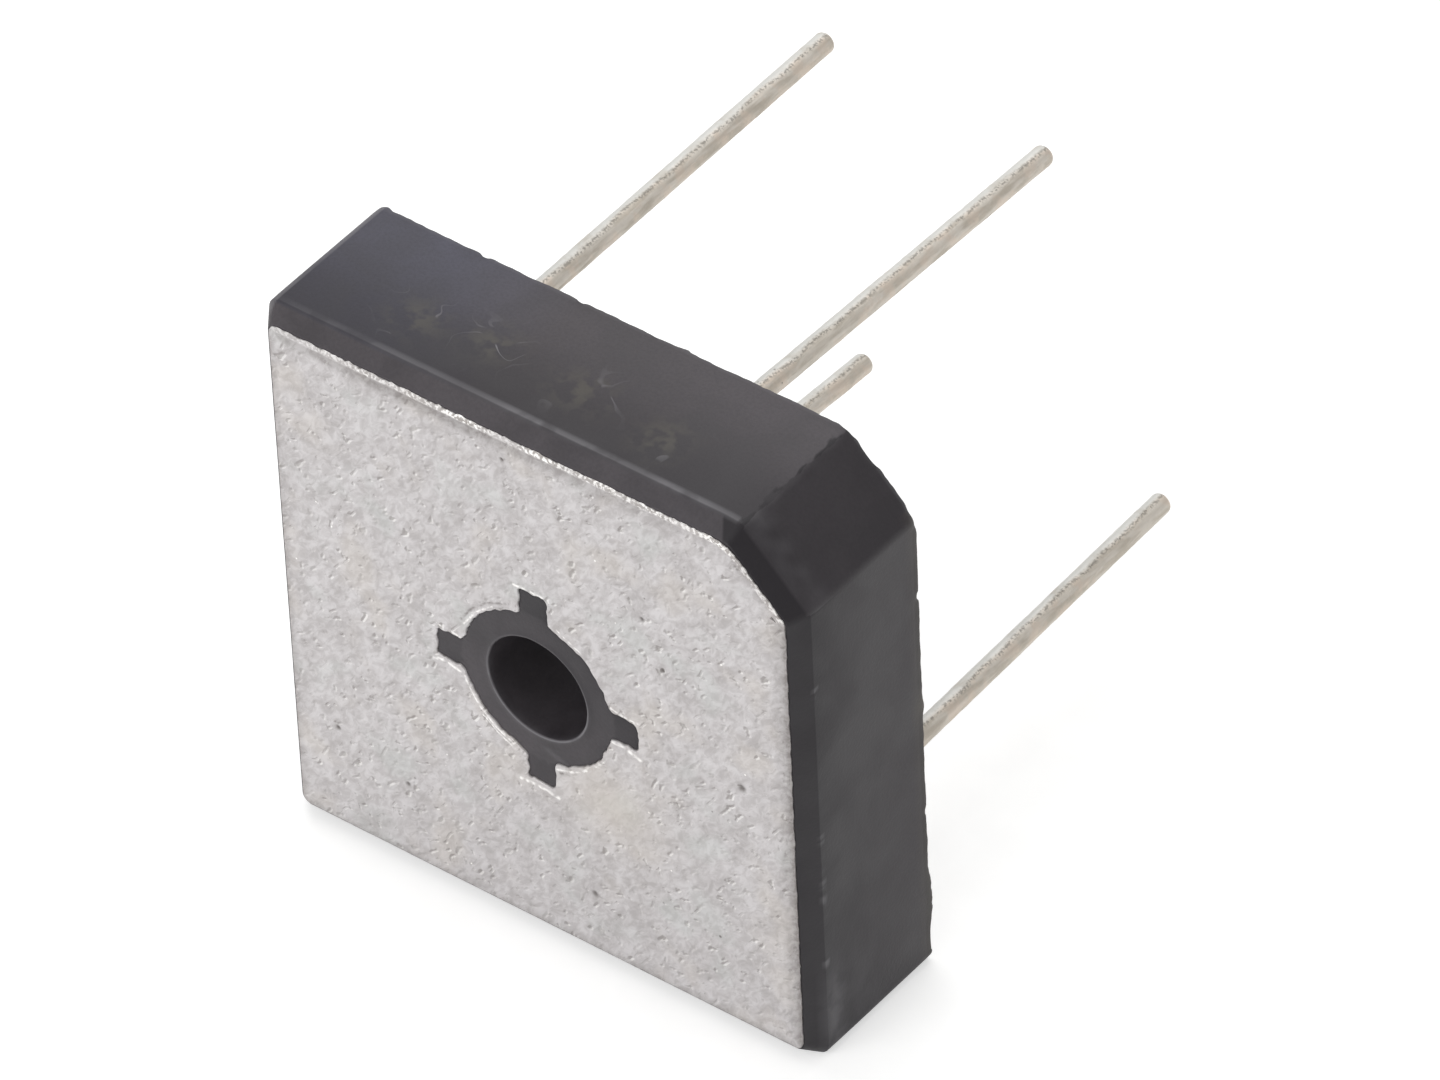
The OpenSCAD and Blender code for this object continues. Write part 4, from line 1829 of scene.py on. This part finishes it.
    def face_spots(self, outer: Outline, keyed: Outline) -> Array:
        """Points on the face, closer together on the scars and in the dents.

        Args:
            outer: the plate's outline.
            keyed: the keyed hole's outline.

        Returns:
            One row of x and z for each point.
        """
        half = self.form.width / 2
        spread = scattered(-half, half, self.gap, 7)
        fine = scattered(-self.scar_reach, self.scar_reach, self.fine_gap, 17)
        near = np.min([scar.away(fine) for scar in self.scars], axis=0) < 0.18 * MM
        spread = np.concatenate([spread, fine[near]])
        for pit in self.pits:
            fine = scattered(-2 * pit.radius, 2 * pit.radius, self.pit_gap, 8) + (pit.x, pit.z)
            spread = np.concatenate([spread[pit.away(spread) > 2.6 * pit.radius], fine])
        keep = inside(spread, outer.moved(-0.47 * MM)) & ~inside(spread, keyed.moved(0.09 * MM))
        return spread[keep]

    def build(self) -> Object:
        """Builds the plate as one closed mesh.

        Returns:
            The object.
        """
        skin = Skin()
        outer = self.form.plate_outline()
        keyed = self.form.keyed_outline()
        outside = skin.stack(self.outer_rings(outer))
        hole = skin.stack(self.hole_rings(keyed))
        skin.fill([outside[-1], hole[-1]], self.face_spots(outer, keyed), self.level)
        skin.fill([outside[0], hole[0]])
        plate = skin.piece("cooling_plate_sheet")
        self.add_marks(plate, outer)
        return plate

    def add_marks(self, plate: Object, outer: Outline) -> None:
        """Stores where the plate has a warm tinge, painted sparkle on its burr, painted bright lines,
        painted shade and dents.

        Args:
            plate: the plate's object.
            outer: the plate's outline.
        """
        spots = places(plate)
        flat = spots[:, [0, 2]]
        front = spots[:, 1] < self.front
        burr, shade = self.edge_marks(spots, outer)
        gleam = np.zeros(len(spots))
        # raised scars get painted highlight, grooves painted shade
        for scar in self.scars:
            shape = 0.95 * scar.shape(flat) * front
            if scar.lift > 0:
                gleam = np.maximum(gleam, shape)
            else:
                shade = np.maximum(shade, shape)
        across, up = flat.T / MM
        tinge = hill(across, self.tinge[0], 2.4) * hill(up, self.tinge[1], 2.0)
        mark(plate, "tinge", 0.55 * tinge)
        mark(plate, "burr", burr * front)
        mark(plate, "gleam", gleam)
        mark(plate, "shade", shade)
        mark(plate, "pit", 0.85 * np.max([pit.shape(flat) for pit in self.pits], axis=0))

    def edge_marks(self, spots: Array, outer: Outline) -> tuple[Array, Array]:
        """Finds the burr's painted sparkle and the painted shade along the outer edge.

        Args:
            spots: one row of x, y and z for each point.
            outer: the plate's outline.

        Returns:
            Strength of the burr's painted sparkle and of the painted shade at each point.
        """
        index, off = nearest(outer.points, spots[:, [0, 2]])
        up, right = outer.normals[index, 1], outer.normals[index, 0]
        above, beside = np.clip(up, 0, 1), np.clip(right, 0, 1)
        across = spots[:, 0] / MM
        patchy = np.clip(0.8 + 0.9 * ripple(spots, 2.0 * MM, 93.0), 0.3, 1)
        patchy *= np.clip((across + 13) / 5, 0.35, 1)
        # the burr's painted sparkle stays on edges that face up, where the light falls
        burr = self.outer_strength(outer)[index] * above * (off < 0.2) * patchy
        # painted shade: in the groove behind the top burr, along the right edge, and thinly along the
        # left and bottom edges
        fade = 0.25 + 0.55 * hill(across, -5, 8)
        groove = fade * above**2 * np.interp(off, (0.18, 0.3, 0.62, 0.9), (0, 1, 0.8, 0))
        fall = beside**2 * np.interp(off, (0.05, 0.2, 0.4, 0.9), (0.85, 0.55, 0.35, 0))
        low = np.clip(-np.minimum(up, right), 0, 1) * np.interp(off, (0, 0.12, 0.4), (0.5, 0.3, 0))
        return burr, np.maximum(np.maximum(groove, fall), low)


# ---- Leads and potting ----


@dataclass
class WireLead(Dressed):
    """One round wire lead with its buried flat head, its bend at the potting and its cut tip.

    Args:
        node: name of the CAD node that it stands for.
        seat: depth of the head's front face.
        bend: point where it leaves the potting.
        axis: direction of its free run.
        length: length of its free run.
        radius: radius of the wire.
        seed: makes its waves differ from the other leads'.
        head_radius: radius of the flat head.
        head_depth: thickness of the head.
        head_round: rounding of the head's edges.
        tip_round: rounding of the tip's edge.
        wave: height of the tin's waves.
        coat: thickness that the tin adds to the wire.
        seam: direction of the seam round the wire.
        thick: direction round the wire of the painted highlight strip, up and to the left.
        sides: number of points on each ring.
        gap: spacing of the rings.
    """

    finish_slot: ClassVar[str] = "tinned_lead"

    node: str
    seat: float
    bend: Vector
    axis: Vector
    length: float
    radius: float
    seed: float
    head_radius: float = 1.1 * MM
    head_depth: float = 0.5 * MM
    head_round: float = 0.05 * MM
    tip_round: float = 0.26 * MM
    wave: float = 0.012 * MM
    coat: float = 0.01 * MM
    seam: float = math.radians(76)
    thick: float = math.radians(115)
    sides: int = 40
    gap: float = 0.14 * MM

    def stations(self) -> list[tuple[Vector, Vector, float]]:
        """Centre, direction and radius of each ring, from the head's face to the tip.

        Returns:
            One row for each ring.
        """
        straight = Vector((0, 1, 0))
        foot = Vector((self.bend.x, self.seat, self.bend.z))
        head = [
            (0.0, self.head_radius - self.head_round),
            (self.head_round, self.head_radius),
            (self.head_depth - self.head_round, self.head_radius),
            (self.head_depth, self.head_radius - self.head_round),
            (self.head_depth, self.radius + self.head_round),
            (self.head_depth + self.head_round, self.radius),
        ]
        rows = [(foot + straight * off, straight, radius) for off, radius in head]
        rows.append((self.bend - straight * self.gap, straight, self.radius))
        rows.append((self.bend, (straight + self.axis).normalized(), self.radius))
        body = self.length - self.tip_round
        count = round(body / self.gap)
        for k in range(1, count + 1):
            rows.append((self.bend + self.axis * (body * k / count), self.axis, self.radius))
        for angle in np.linspace(0, 0.85 * QUARTER, 6)[1:]:
            shrink = self.tip_round * (1 - math.cos(angle))
            off = body + self.tip_round * math.sin(angle)
            rows.append((self.bend + self.axis * off, self.axis, self.radius - shrink))
        return rows

    def ring(self, centre: Vector, direction: Vector, radius: float) -> Array:
        """Points of one ring.

        Args:
            centre: its middle.
            direction: the wire's direction there.
            radius: its radius.

        Returns:
            One row of x, y and z for each point.
        """
        side = direction.cross(Vector((0, 0, 1))).normalized()
        up = side.cross(direction)
        points = []
        for angle in np.linspace(0, math.tau, self.sides, endpoint=False):
            points.append(centre + radius * (math.cos(angle) * side + math.sin(angle) * up))
        return np.array(points)

    def build(self) -> Object:
        """Builds the lead as one closed mesh.

        Returns:
            The object.
        """
        skin = Skin()
        stations = self.stations()
        rings = []
        for centre, direction, radius in stations:
            ring = self.ring(centre, direction, radius)
            off = centre.y - self.bend.y
            if off > 0:
                swell = self.wave * ripple(ring * (1, 0.3, 1), 0.5 * MM, self.seed)
                swell += self.wave * ripple(ring, 0.4 * MM, self.seed + 7)
                outward = (ring - np.array(centre)) / radius
                ring = ring + outward * (swell + self.coat)[:, None] * min(1, off / (0.4 * MM))
            rings.append(ring)
        numbers = skin.stack(rings)
        tip = stations[-1][0] + self.axis * 0.02 * MM
        skin.fan(numbers[0], np.array(stations[0][0]))
        skin.fan(numbers[-1], np.array(tip))
        wire = skin.piece(self.node + "_wire", crease=50)
        self.add_marks(wire)
        return wire

    def add_marks(self, wire: Object) -> None:
        """Stores where the painted highlight strip lies and where its seam runs.

        Args:
            wire: the lead's object.
        """
        spots = places(wire)
        run = spots - np.array(self.bend)
        run = run - np.outer(run @ np.array(self.axis), np.array(self.axis))
        drift = 0.25 * ripple(spots * (0, 1, 0), 1.8 * MM, self.seed + 3)
        angle = np.arctan2(run[:, 2], run[:, 0]) + drift
        mark(wire, "thick", hill(angle, self.thick, 0.6, power=4))
        tip = np.hypot(run[:, 0], run[:, 2]) < 0.7 * self.radius
        mark(wire, "seam", np.maximum(hill(angle, self.seam, 0.2), 0.6 * tip))


@dataclass
class Potting(Dressed):
    """The resin poured in from the back: it creeps up the walls, the sleeve and the leads.

    Args:
        frame_mesh: the CAD node's own mesh.
        surface: depth of the resin's plain surface.
        leads: the leads that stand in it.
        creep: how far it creeps up the walls and the sleeve.
        lead_creep: how far it creeps up a lead.
        reach: how far from a wall its surface is bent by the creep.
        spread: half width of the square that is filled with extra points.
        gap: spacing of those points.
        wall_reach: an outline that reaches further out than this runs along the walls.
        wall_gap: spacing of the extra points close to the walls.
    """

    node: ClassVar[str] = "potting"
    finish_slot: ClassVar[str] = "potting_resin"

    frame_mesh: bpy.types.Mesh
    surface: float
    leads: tuple[WireLead, ...]
    creep: float = 0.13 * MM
    lead_creep: float = 0.2 * MM
    reach: float = 0.3 * MM
    spread: float = 13 * MM
    gap: float = 0.3 * MM
    wall_reach: float = 12 * MM
    wall_gap: float = 0.14 * MM

    def build(self) -> Object:
        """Builds the potting: the frame's own solid with a poured surface for its flat back.

        Returns:
            The object.
        """
        skin = Skin()
        numbers = self.opened(skin)
        spots = skin.blocks[0]
        outlines = [spots[n][:, [0, 2]] for n in numbers]
        for number in numbers:
            spots[number] = self.raised(spots[number])
        even = scattered(-self.spread, self.spread, self.gap, 5)
        spread = np.concatenate([even, *self.rows_along(outlines)])
        keep = inside(spread, outlines[0])
        for hole in outlines[1:]:
            keep &= ~inside(spread, hole)
        keep &= self.distance(spread, outlines) > 0.03 * MM
        skin.fill(numbers, spread[keep], lambda at: self.depth(at, outlines))
        return skin.piece("potting_fill")

    def opened(self, skin: Skin) -> list[Array]:
        """Takes the CAD node's solid without its flat back.

        Args:
            skin: the mesh to add to.

        Returns:
            Numbers of the points of each open loop, the outermost loop first.
        """
        editable = bmesh.new()
        editable.from_mesh(self.frame_mesh)
        bmesh.ops.remove_doubles(editable, verts=editable.verts, dist=0.0001 * MM)
        edge = self.surface - 0.02 * MM
        flat = [f for f in editable.faces if all(v.co.y > edge for v in f.verts)]
        bmesh.ops.delete(editable, geom=flat, context="FACES")
        loops = self.open_loops(editable)
        LOG.info("potting has %d open loops", len(loops))
        skin.add(np.array([v.co for v in editable.verts]))
        skin.faces = [tuple(v.index for v in f.verts) for f in editable.faces]
        editable.free()
        return [np.array(loop) for loop in loops]

    def raised(self, loop: Array) -> Array:
        """Lifts an open loop to where the resin has crept.

        Args:
            loop: one row of x, y and z for each point.

        Returns:
            The moved points.
        """
        x, z = loop[:, [0, 2]].mean(axis=0)
        for lead in self.leads:
            if math.hypot(lead.bend.x - x, lead.bend.z - z) < lead.radius:
                slope = np.array(lead.axis) / lead.axis.y
                rise = self.surface + self.lead_creep - loop[:, 1]
                return loop + rise[:, None] * slope
        moved = loop.copy()
        moved[:, 1] = self.surface + self.creep
        return moved

    def open_loops(self, editable: bmesh.types.BMesh) -> list[list[int]]:
        """Vertex numbers of each open edge loop, the outermost loop first.

        Args:
            editable: the solid without its flat back.

        Returns:
            The loops.
        """
        editable.verts.index_update()
        links: dict[int, list[int]] = {}
        for edge in editable.edges:
            if edge.is_boundary:
                a, b = (v.index for v in edge.verts)
                links.setdefault(a, []).append(b)
                links.setdefault(b, []).append(a)
        loops = []
        left = set(links)
        while left:
            start = min(left)
            loop = [start]
            left.discard(start)
            while True:
                onward = [n for n in links[loop[-1]] if n in left]
                if not onward:
                    break
                loop.append(onward[0])
                left.discard(onward[0])
            loops.append(loop)
        spots = {v.index: v.co for v in editable.verts}
        return sorted(loops, key=lambda loop: -max(abs(spots[n].x) for n in loop))

    def rows_along(self, outlines: Sequence[Array]) -> list[Array]:
        """Extra points close to each wall, where the resin's surface curves.

        Args:
            outlines: the x and z of each open loop.

        Returns:
            The x and z of each row's points.
        """
        rows = []
        for line in outlines:
            fine = resampled(line, self.wall_gap)
            middle = fine.mean(axis=0)
            outer = np.abs(fine).max() > self.wall_reach
            for off in (0.06 * MM, 0.13 * MM, 0.22 * MM):
                away = fine - middle
                length = np.abs(away).max(axis=1) if outer else np.hypot(*away.T)
                factor = 1 - off / length if outer else 1 + off / length
                rows.append(middle + away * factor[:, None])
        return rows

    def distance(self, spots: Array, outlines: Sequence[Array]) -> Array:
        """Distance from each place to the nearest outline.

        Args:
            spots: one row of x and z for each place.
            outlines: the x and z of each open loop.

        Returns:
            The distances.
        """
        best = np.full(len(spots), np.inf)
        for line in outlines:
            for start, end in zip(line, np.roll(line, -1, axis=0)):
                best = np.minimum(best, to_segment(spots, start, end))
        return best

    def depth(self, spots: Array, outlines: Sequence[Array]) -> Array:
        """Depth of the poured surface at each x and z.

        Args:
            spots: one row of x and z for each place.
            outlines: the x and z of each open loop.

        Returns:
            The depths.
        """
        wall = self.distance(spots, outlines[:2])
        wire = self.distance(spots, outlines[2:])
        spread = standing(spots)
        wave = 0.02 * MM * ripple(spread, 3.5 * MM, 51.0) + 0.006 * MM * ripple(spread, 0.8 * MM, 52.0)
        rise = self.creep * np.exp(-wall / self.reach)
        rise += self.lead_creep * np.exp(-wire / (0.5 * self.reach))
        return self.surface + rise + wave * (1 - np.exp(-np.minimum(wall, wire) / self.reach))


def nearest(line: Array, spots: Array) -> tuple[Array, Array]:
    """Number of the line's point that lies nearest to each place, and its distance in millimetres.

    Args:
        line: one row of x and z for each point of the line.
        spots: one row of x and z for each place.

    Returns:
        The number and the distance for each place.
    """
    index = np.empty(len(spots), int)
    away = np.empty(len(spots))
    for number, spot in enumerate(spots):
        off = np.hypot(*(line - spot).T)
        index[number] = off.argmin()
        away[number] = off[index[number]] / MM
    return index, away


def to_segment(spots: Array, start: Array, end: Array) -> Array:
    """Distance from each place to a straight stretch between two points.

    Args:
        spots: one row of x and z for each place.
        start: the stretch's first point.
        end: its last point.

    Returns:
        The distances.
    """
    along = end - start
    length = max(along @ along, 1e-18)
    share = np.clip(((spots - start) @ along) / length, 0, 1)
    return np.hypot(*(spots - start - share[:, None] * along).T)


def resampled(line: Array, gap: float) -> Array:
    """Points along a closed line, about a gap apart.

    Args:
        line: one row of x and z for each point of the line.
        gap: distance between the points.

    Returns:
        One row of x and z for each point.
    """
    closed = np.vstack([line, line[:1]])
    reach = np.concatenate([[0], np.cumsum(np.hypot(*np.diff(closed, axis=0).T))])
    at = np.arange(0, reach[-1], gap)
    return np.column_stack([np.interp(at, reach, closed[:, 0]), np.interp(at, reach, closed[:, 1])])


# ---- Circuit ----


@dataclass
class Circuit:
    """The buried copper frames, dice and solder, which keep their CAD shapes."""

    nodes: dict[str, Object]

    def dress(self) -> int:
        """Gives each buried node its finish.

        Returns:
            The number of nodes.
        """
        finishes = {
            "frame": StampedCopper().material(),
            "die_": DicedSilicon().material(),
            "solder": ReflowedSolder().material(),
        }
        dressed = 0
        for name, node in self.nodes.items():
            for word, material in finishes.items():
                if word in name:
                    dressed += 1
                    for place in node.material_slots:
                        place.material = material
        return dressed


# ---- Studio ----


@dataclass(frozen=True)
class SoftBox:
    """A square lamp that faces the object.

    Args:
        name: the lamp's name.
        azimuth: direction that it stands in, in degrees from straight ahead of the plate.
        elevation: degrees above the floor.
        distance: distance from the object.
        size: side of the square.
        level: share of the plain light level that it adds on a surface that faces it.
    """

    name: str
    azimuth: float
    elevation: float
    distance: float
    size: float
    level: float

    def build(self, aim: Vector) -> None:
        """Makes the lamp.

        Args:
            aim: the point that it faces.
        """
        lamp = bpy.data.lights.new(self.name, "AREA")
        lamp.size = self.size
        lamp.energy = self.level * math.pi**2 * self.distance**2
        away = bearing(self.azimuth, self.elevation)
        box = bpy.data.objects.new(self.name, lamp)
        box.location = aim + away * self.distance
        box.rotation_euler = (-away).to_track_quat("-Z", "Y").to_euler()
        bpy.context.scene.collection.objects.link(box)


def bearing(azimuth: float, elevation: float) -> Vector:
    """Direction from the object: azimuth 0 is in front of the plate and 90 is at its right."""
    a, e = math.radians(azimuth), math.radians(elevation)
    return Vector((math.sin(a) * math.cos(e), -math.cos(a) * math.cos(e), math.sin(e)))


@dataclass
class Studio:
    """Floor, backdrop, lamps and camera.

    The camera's angles are in degrees from straight ahead of the plate, and its lens and
    sensor are in millimetres. The glow is how bright the paper looks to the camera besides
    the light that falls on it.
    """

    ground: float
    aim: Vector
    azimuth: float = 39.303
    elevation: float = 41.485
    roll: float = -2.733
    distance: float = 595.8 * MM
    lens: float = 350.0
    sensor: float = 36.0
    floor_radius: float = 1.5
    wall_height: float = 0.25
    ambient: float = 0.5
    glow: float = 0.52
    paper: tuple[str, str] = ("#dededd", "#e2e2e1")
    boxes: tuple[SoftBox, ...] = (
        SoftBox("top_softbox", 215, 62, 0.5, 0.45, 0.42),
        SoftBox("front_softbox", -18, 30, 0.6, 0.4, 0.35),
    )

    def build(self) -> None:
        """Makes the whole studio."""
        self.add_floor()
        self.add_world()
        for box in self.boxes:
            box.build(self.aim)
        self.add_camera()

    def add_floor(self) -> None:
        """Makes a round floor with a low wall at its rim."""
        skin = Skin()
        base = circle(1.0, 96)
        rings = []
        edge = self.floor_radius
        for radius, height in ((0.2 * edge, 0.0), (edge, 0.0), (edge, self.wall_height)):
            flat = base.moved(radius - 1.0)
            rings.append(np.column_stack([flat, np.full(len(flat), self.ground + height)]))
        numbers = skin.stack(rings)
        skin.fan(numbers[0], np.array([0, 0, self.ground]))
        floor = skin.piece("studio_floor")
        floor.data.flip_normals()
        floor.data.materials.append(self.floor_material())
        floor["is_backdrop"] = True

    def floor_material(self) -> Material:
        """White paper that still takes a shadow: seen straight or in a reflection it is white.

        Returns:
            The material.
        """
        coat = Coat("paper_white")
        fibre = coat.add(Kind.NOISE, coat.here, per(2.5 * MM))
        share = coat.add(Kind.RANGE, fibre, 0.3, 0.7)
        colour = coat.add(Kind.MIX, share, *(linear(code) for code in self.paper))
        paper = add_node(coat.tree, "ShaderNodeBsdfDiffuse", {"Color": colour})
        path = add_node(coat.tree, "ShaderNodeLightPath").outputs
        seen = coat.add(Kind.LARGER, path["Is Camera Ray"], path["Is Glossy Ray"])
        seen = coat.add(Kind.LARGER, seen, path["Is Transmission Ray"])
        strength = coat.add(Kind.TIMES, seen, self.glow)
        glow = add_node(coat.tree, "ShaderNodeEmission", {"Color": WHITE, "Strength": strength})
        both = add_node(coat.tree, "ShaderNodeAddShader", {0: paper.outputs[0], 1: glow.outputs[0]})
        return coat.finish(both.outputs[0])

    def add_world(self) -> None:
        """Makes the even light of the room."""
        world = bpy.data.worlds.new("room")
        world.use_nodes = True
        bpy.context.scene.world = world
        world.node_tree.nodes.clear()
        inputs = {"Color": WHITE, "Strength": self.ambient}
        glow = add_node(world.node_tree, "ShaderNodeBackground", inputs)
        add_node(world.node_tree, "ShaderNodeOutputWorld", {"Surface": glow.outputs[0]})

    def add_camera(self) -> None:
        """Makes the camera."""
        data = bpy.data.cameras.new("camera")
        data.lens = self.lens
        data.sensor_width = self.sensor
        data.clip_start, data.clip_end = 0.01, 10.0
        camera = bpy.data.objects.new("camera", data)
        back = bearing(self.azimuth, self.elevation)
        camera.location = self.aim + back * self.distance
        straight = (-back).to_track_quat("-Z", "Y").to_matrix().to_4x4()
        turn = straight @ Matrix.Rotation(math.radians(self.roll), 4, "Z")
        camera.rotation_euler = turn.to_euler()
        bpy.context.scene.collection.objects.link(camera)
        bpy.context.scene.camera = camera


# ---- The whole part ----


def mounts_of(record: dict) -> dict[str, dict]:
    """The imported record's mounts by name."""
    return {mount["name"]: mount for mount in record["mounts"]}


def make_leads(mounts: dict[str, dict], short: float = 0.03 * MM) -> tuple[WireLead, ...]:
    """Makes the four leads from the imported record's mounts.

    Args:
        mounts: the record's mounts by name.
        short: length left off each lead, so that its tip stays inside the CAD box.

    Returns:
        The leads.
    """
    names = {
        "lead_positive": "positive_lead",
        "lead_ac_left": "ac_lead_left",
        "lead_negative": "negative_lead",
        "lead_ac_right": "ac_lead_right",
    }
    leads = []
    for seed, (mount, node) in enumerate(names.items()):
        stated = mounts[mount]
        axis = Vector(stated["axis"]).normalized()
        bend = Vector(stated["pos_m"])
        low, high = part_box(node)
        length = (high.y - bend.y) / axis.y - short
        radius = stated["dims"]["r_mm"] * MM
        leads.append(WireLead(node, low.y, bend, axis, length, radius, 60.0 + 11 * seed))
    return tuple(leads)


def plain(corners: tuple[Vector, Vector]) -> list[list[float]]:
    """A box as plain lists of numbers."""
    return [list(corner) for corner in corners]


def main() -> None:
    """Builds and dresses the part, then sets up the studio."""
    logging.basicConfig(level=logging.INFO, format="%(message)s")
    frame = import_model()
    cad_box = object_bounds()
    low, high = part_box("moulded_case")
    mounts = mounts_of(frame["record"])
    form = Form(
        width=high.x - low.x,
        depth=high.y,
        plate_depth=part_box("base_plate")[1].y,
        bore=mounts["screw_hole"]["dims"]["r_mm"] * MM,
    )

    case = MouldedCase(form)
    case.dress(case.build(), MouldedEpoxy().material())

    plate = CoolingPlate(form)
    plate.dress(plate.build(), PickledAluminium().material())

    leads = make_leads(mounts)
    tin = TinnedWire().material()
    for lead in leads:
        lead.dress(lead.build(), tin)

    surface = mounts["lead_positive"]["pos_m"][1]
    potting = Potting(frame["nodes"]["potting"].data, surface, leads)
    potting.dress(potting.build(), PouredResin().material())

    LOG.info("circuit: %d nodes", Circuit(frame["nodes"]).dress())

    Studio(ground=low.z, aim=Vector(AIM)).build()
    scene = bpy.context.scene
    scene.view_settings.view_transform = "Standard"
    {"cad": plain(cad_box), "visual": plain(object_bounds())}


if __name__ == "__main__":
    main()
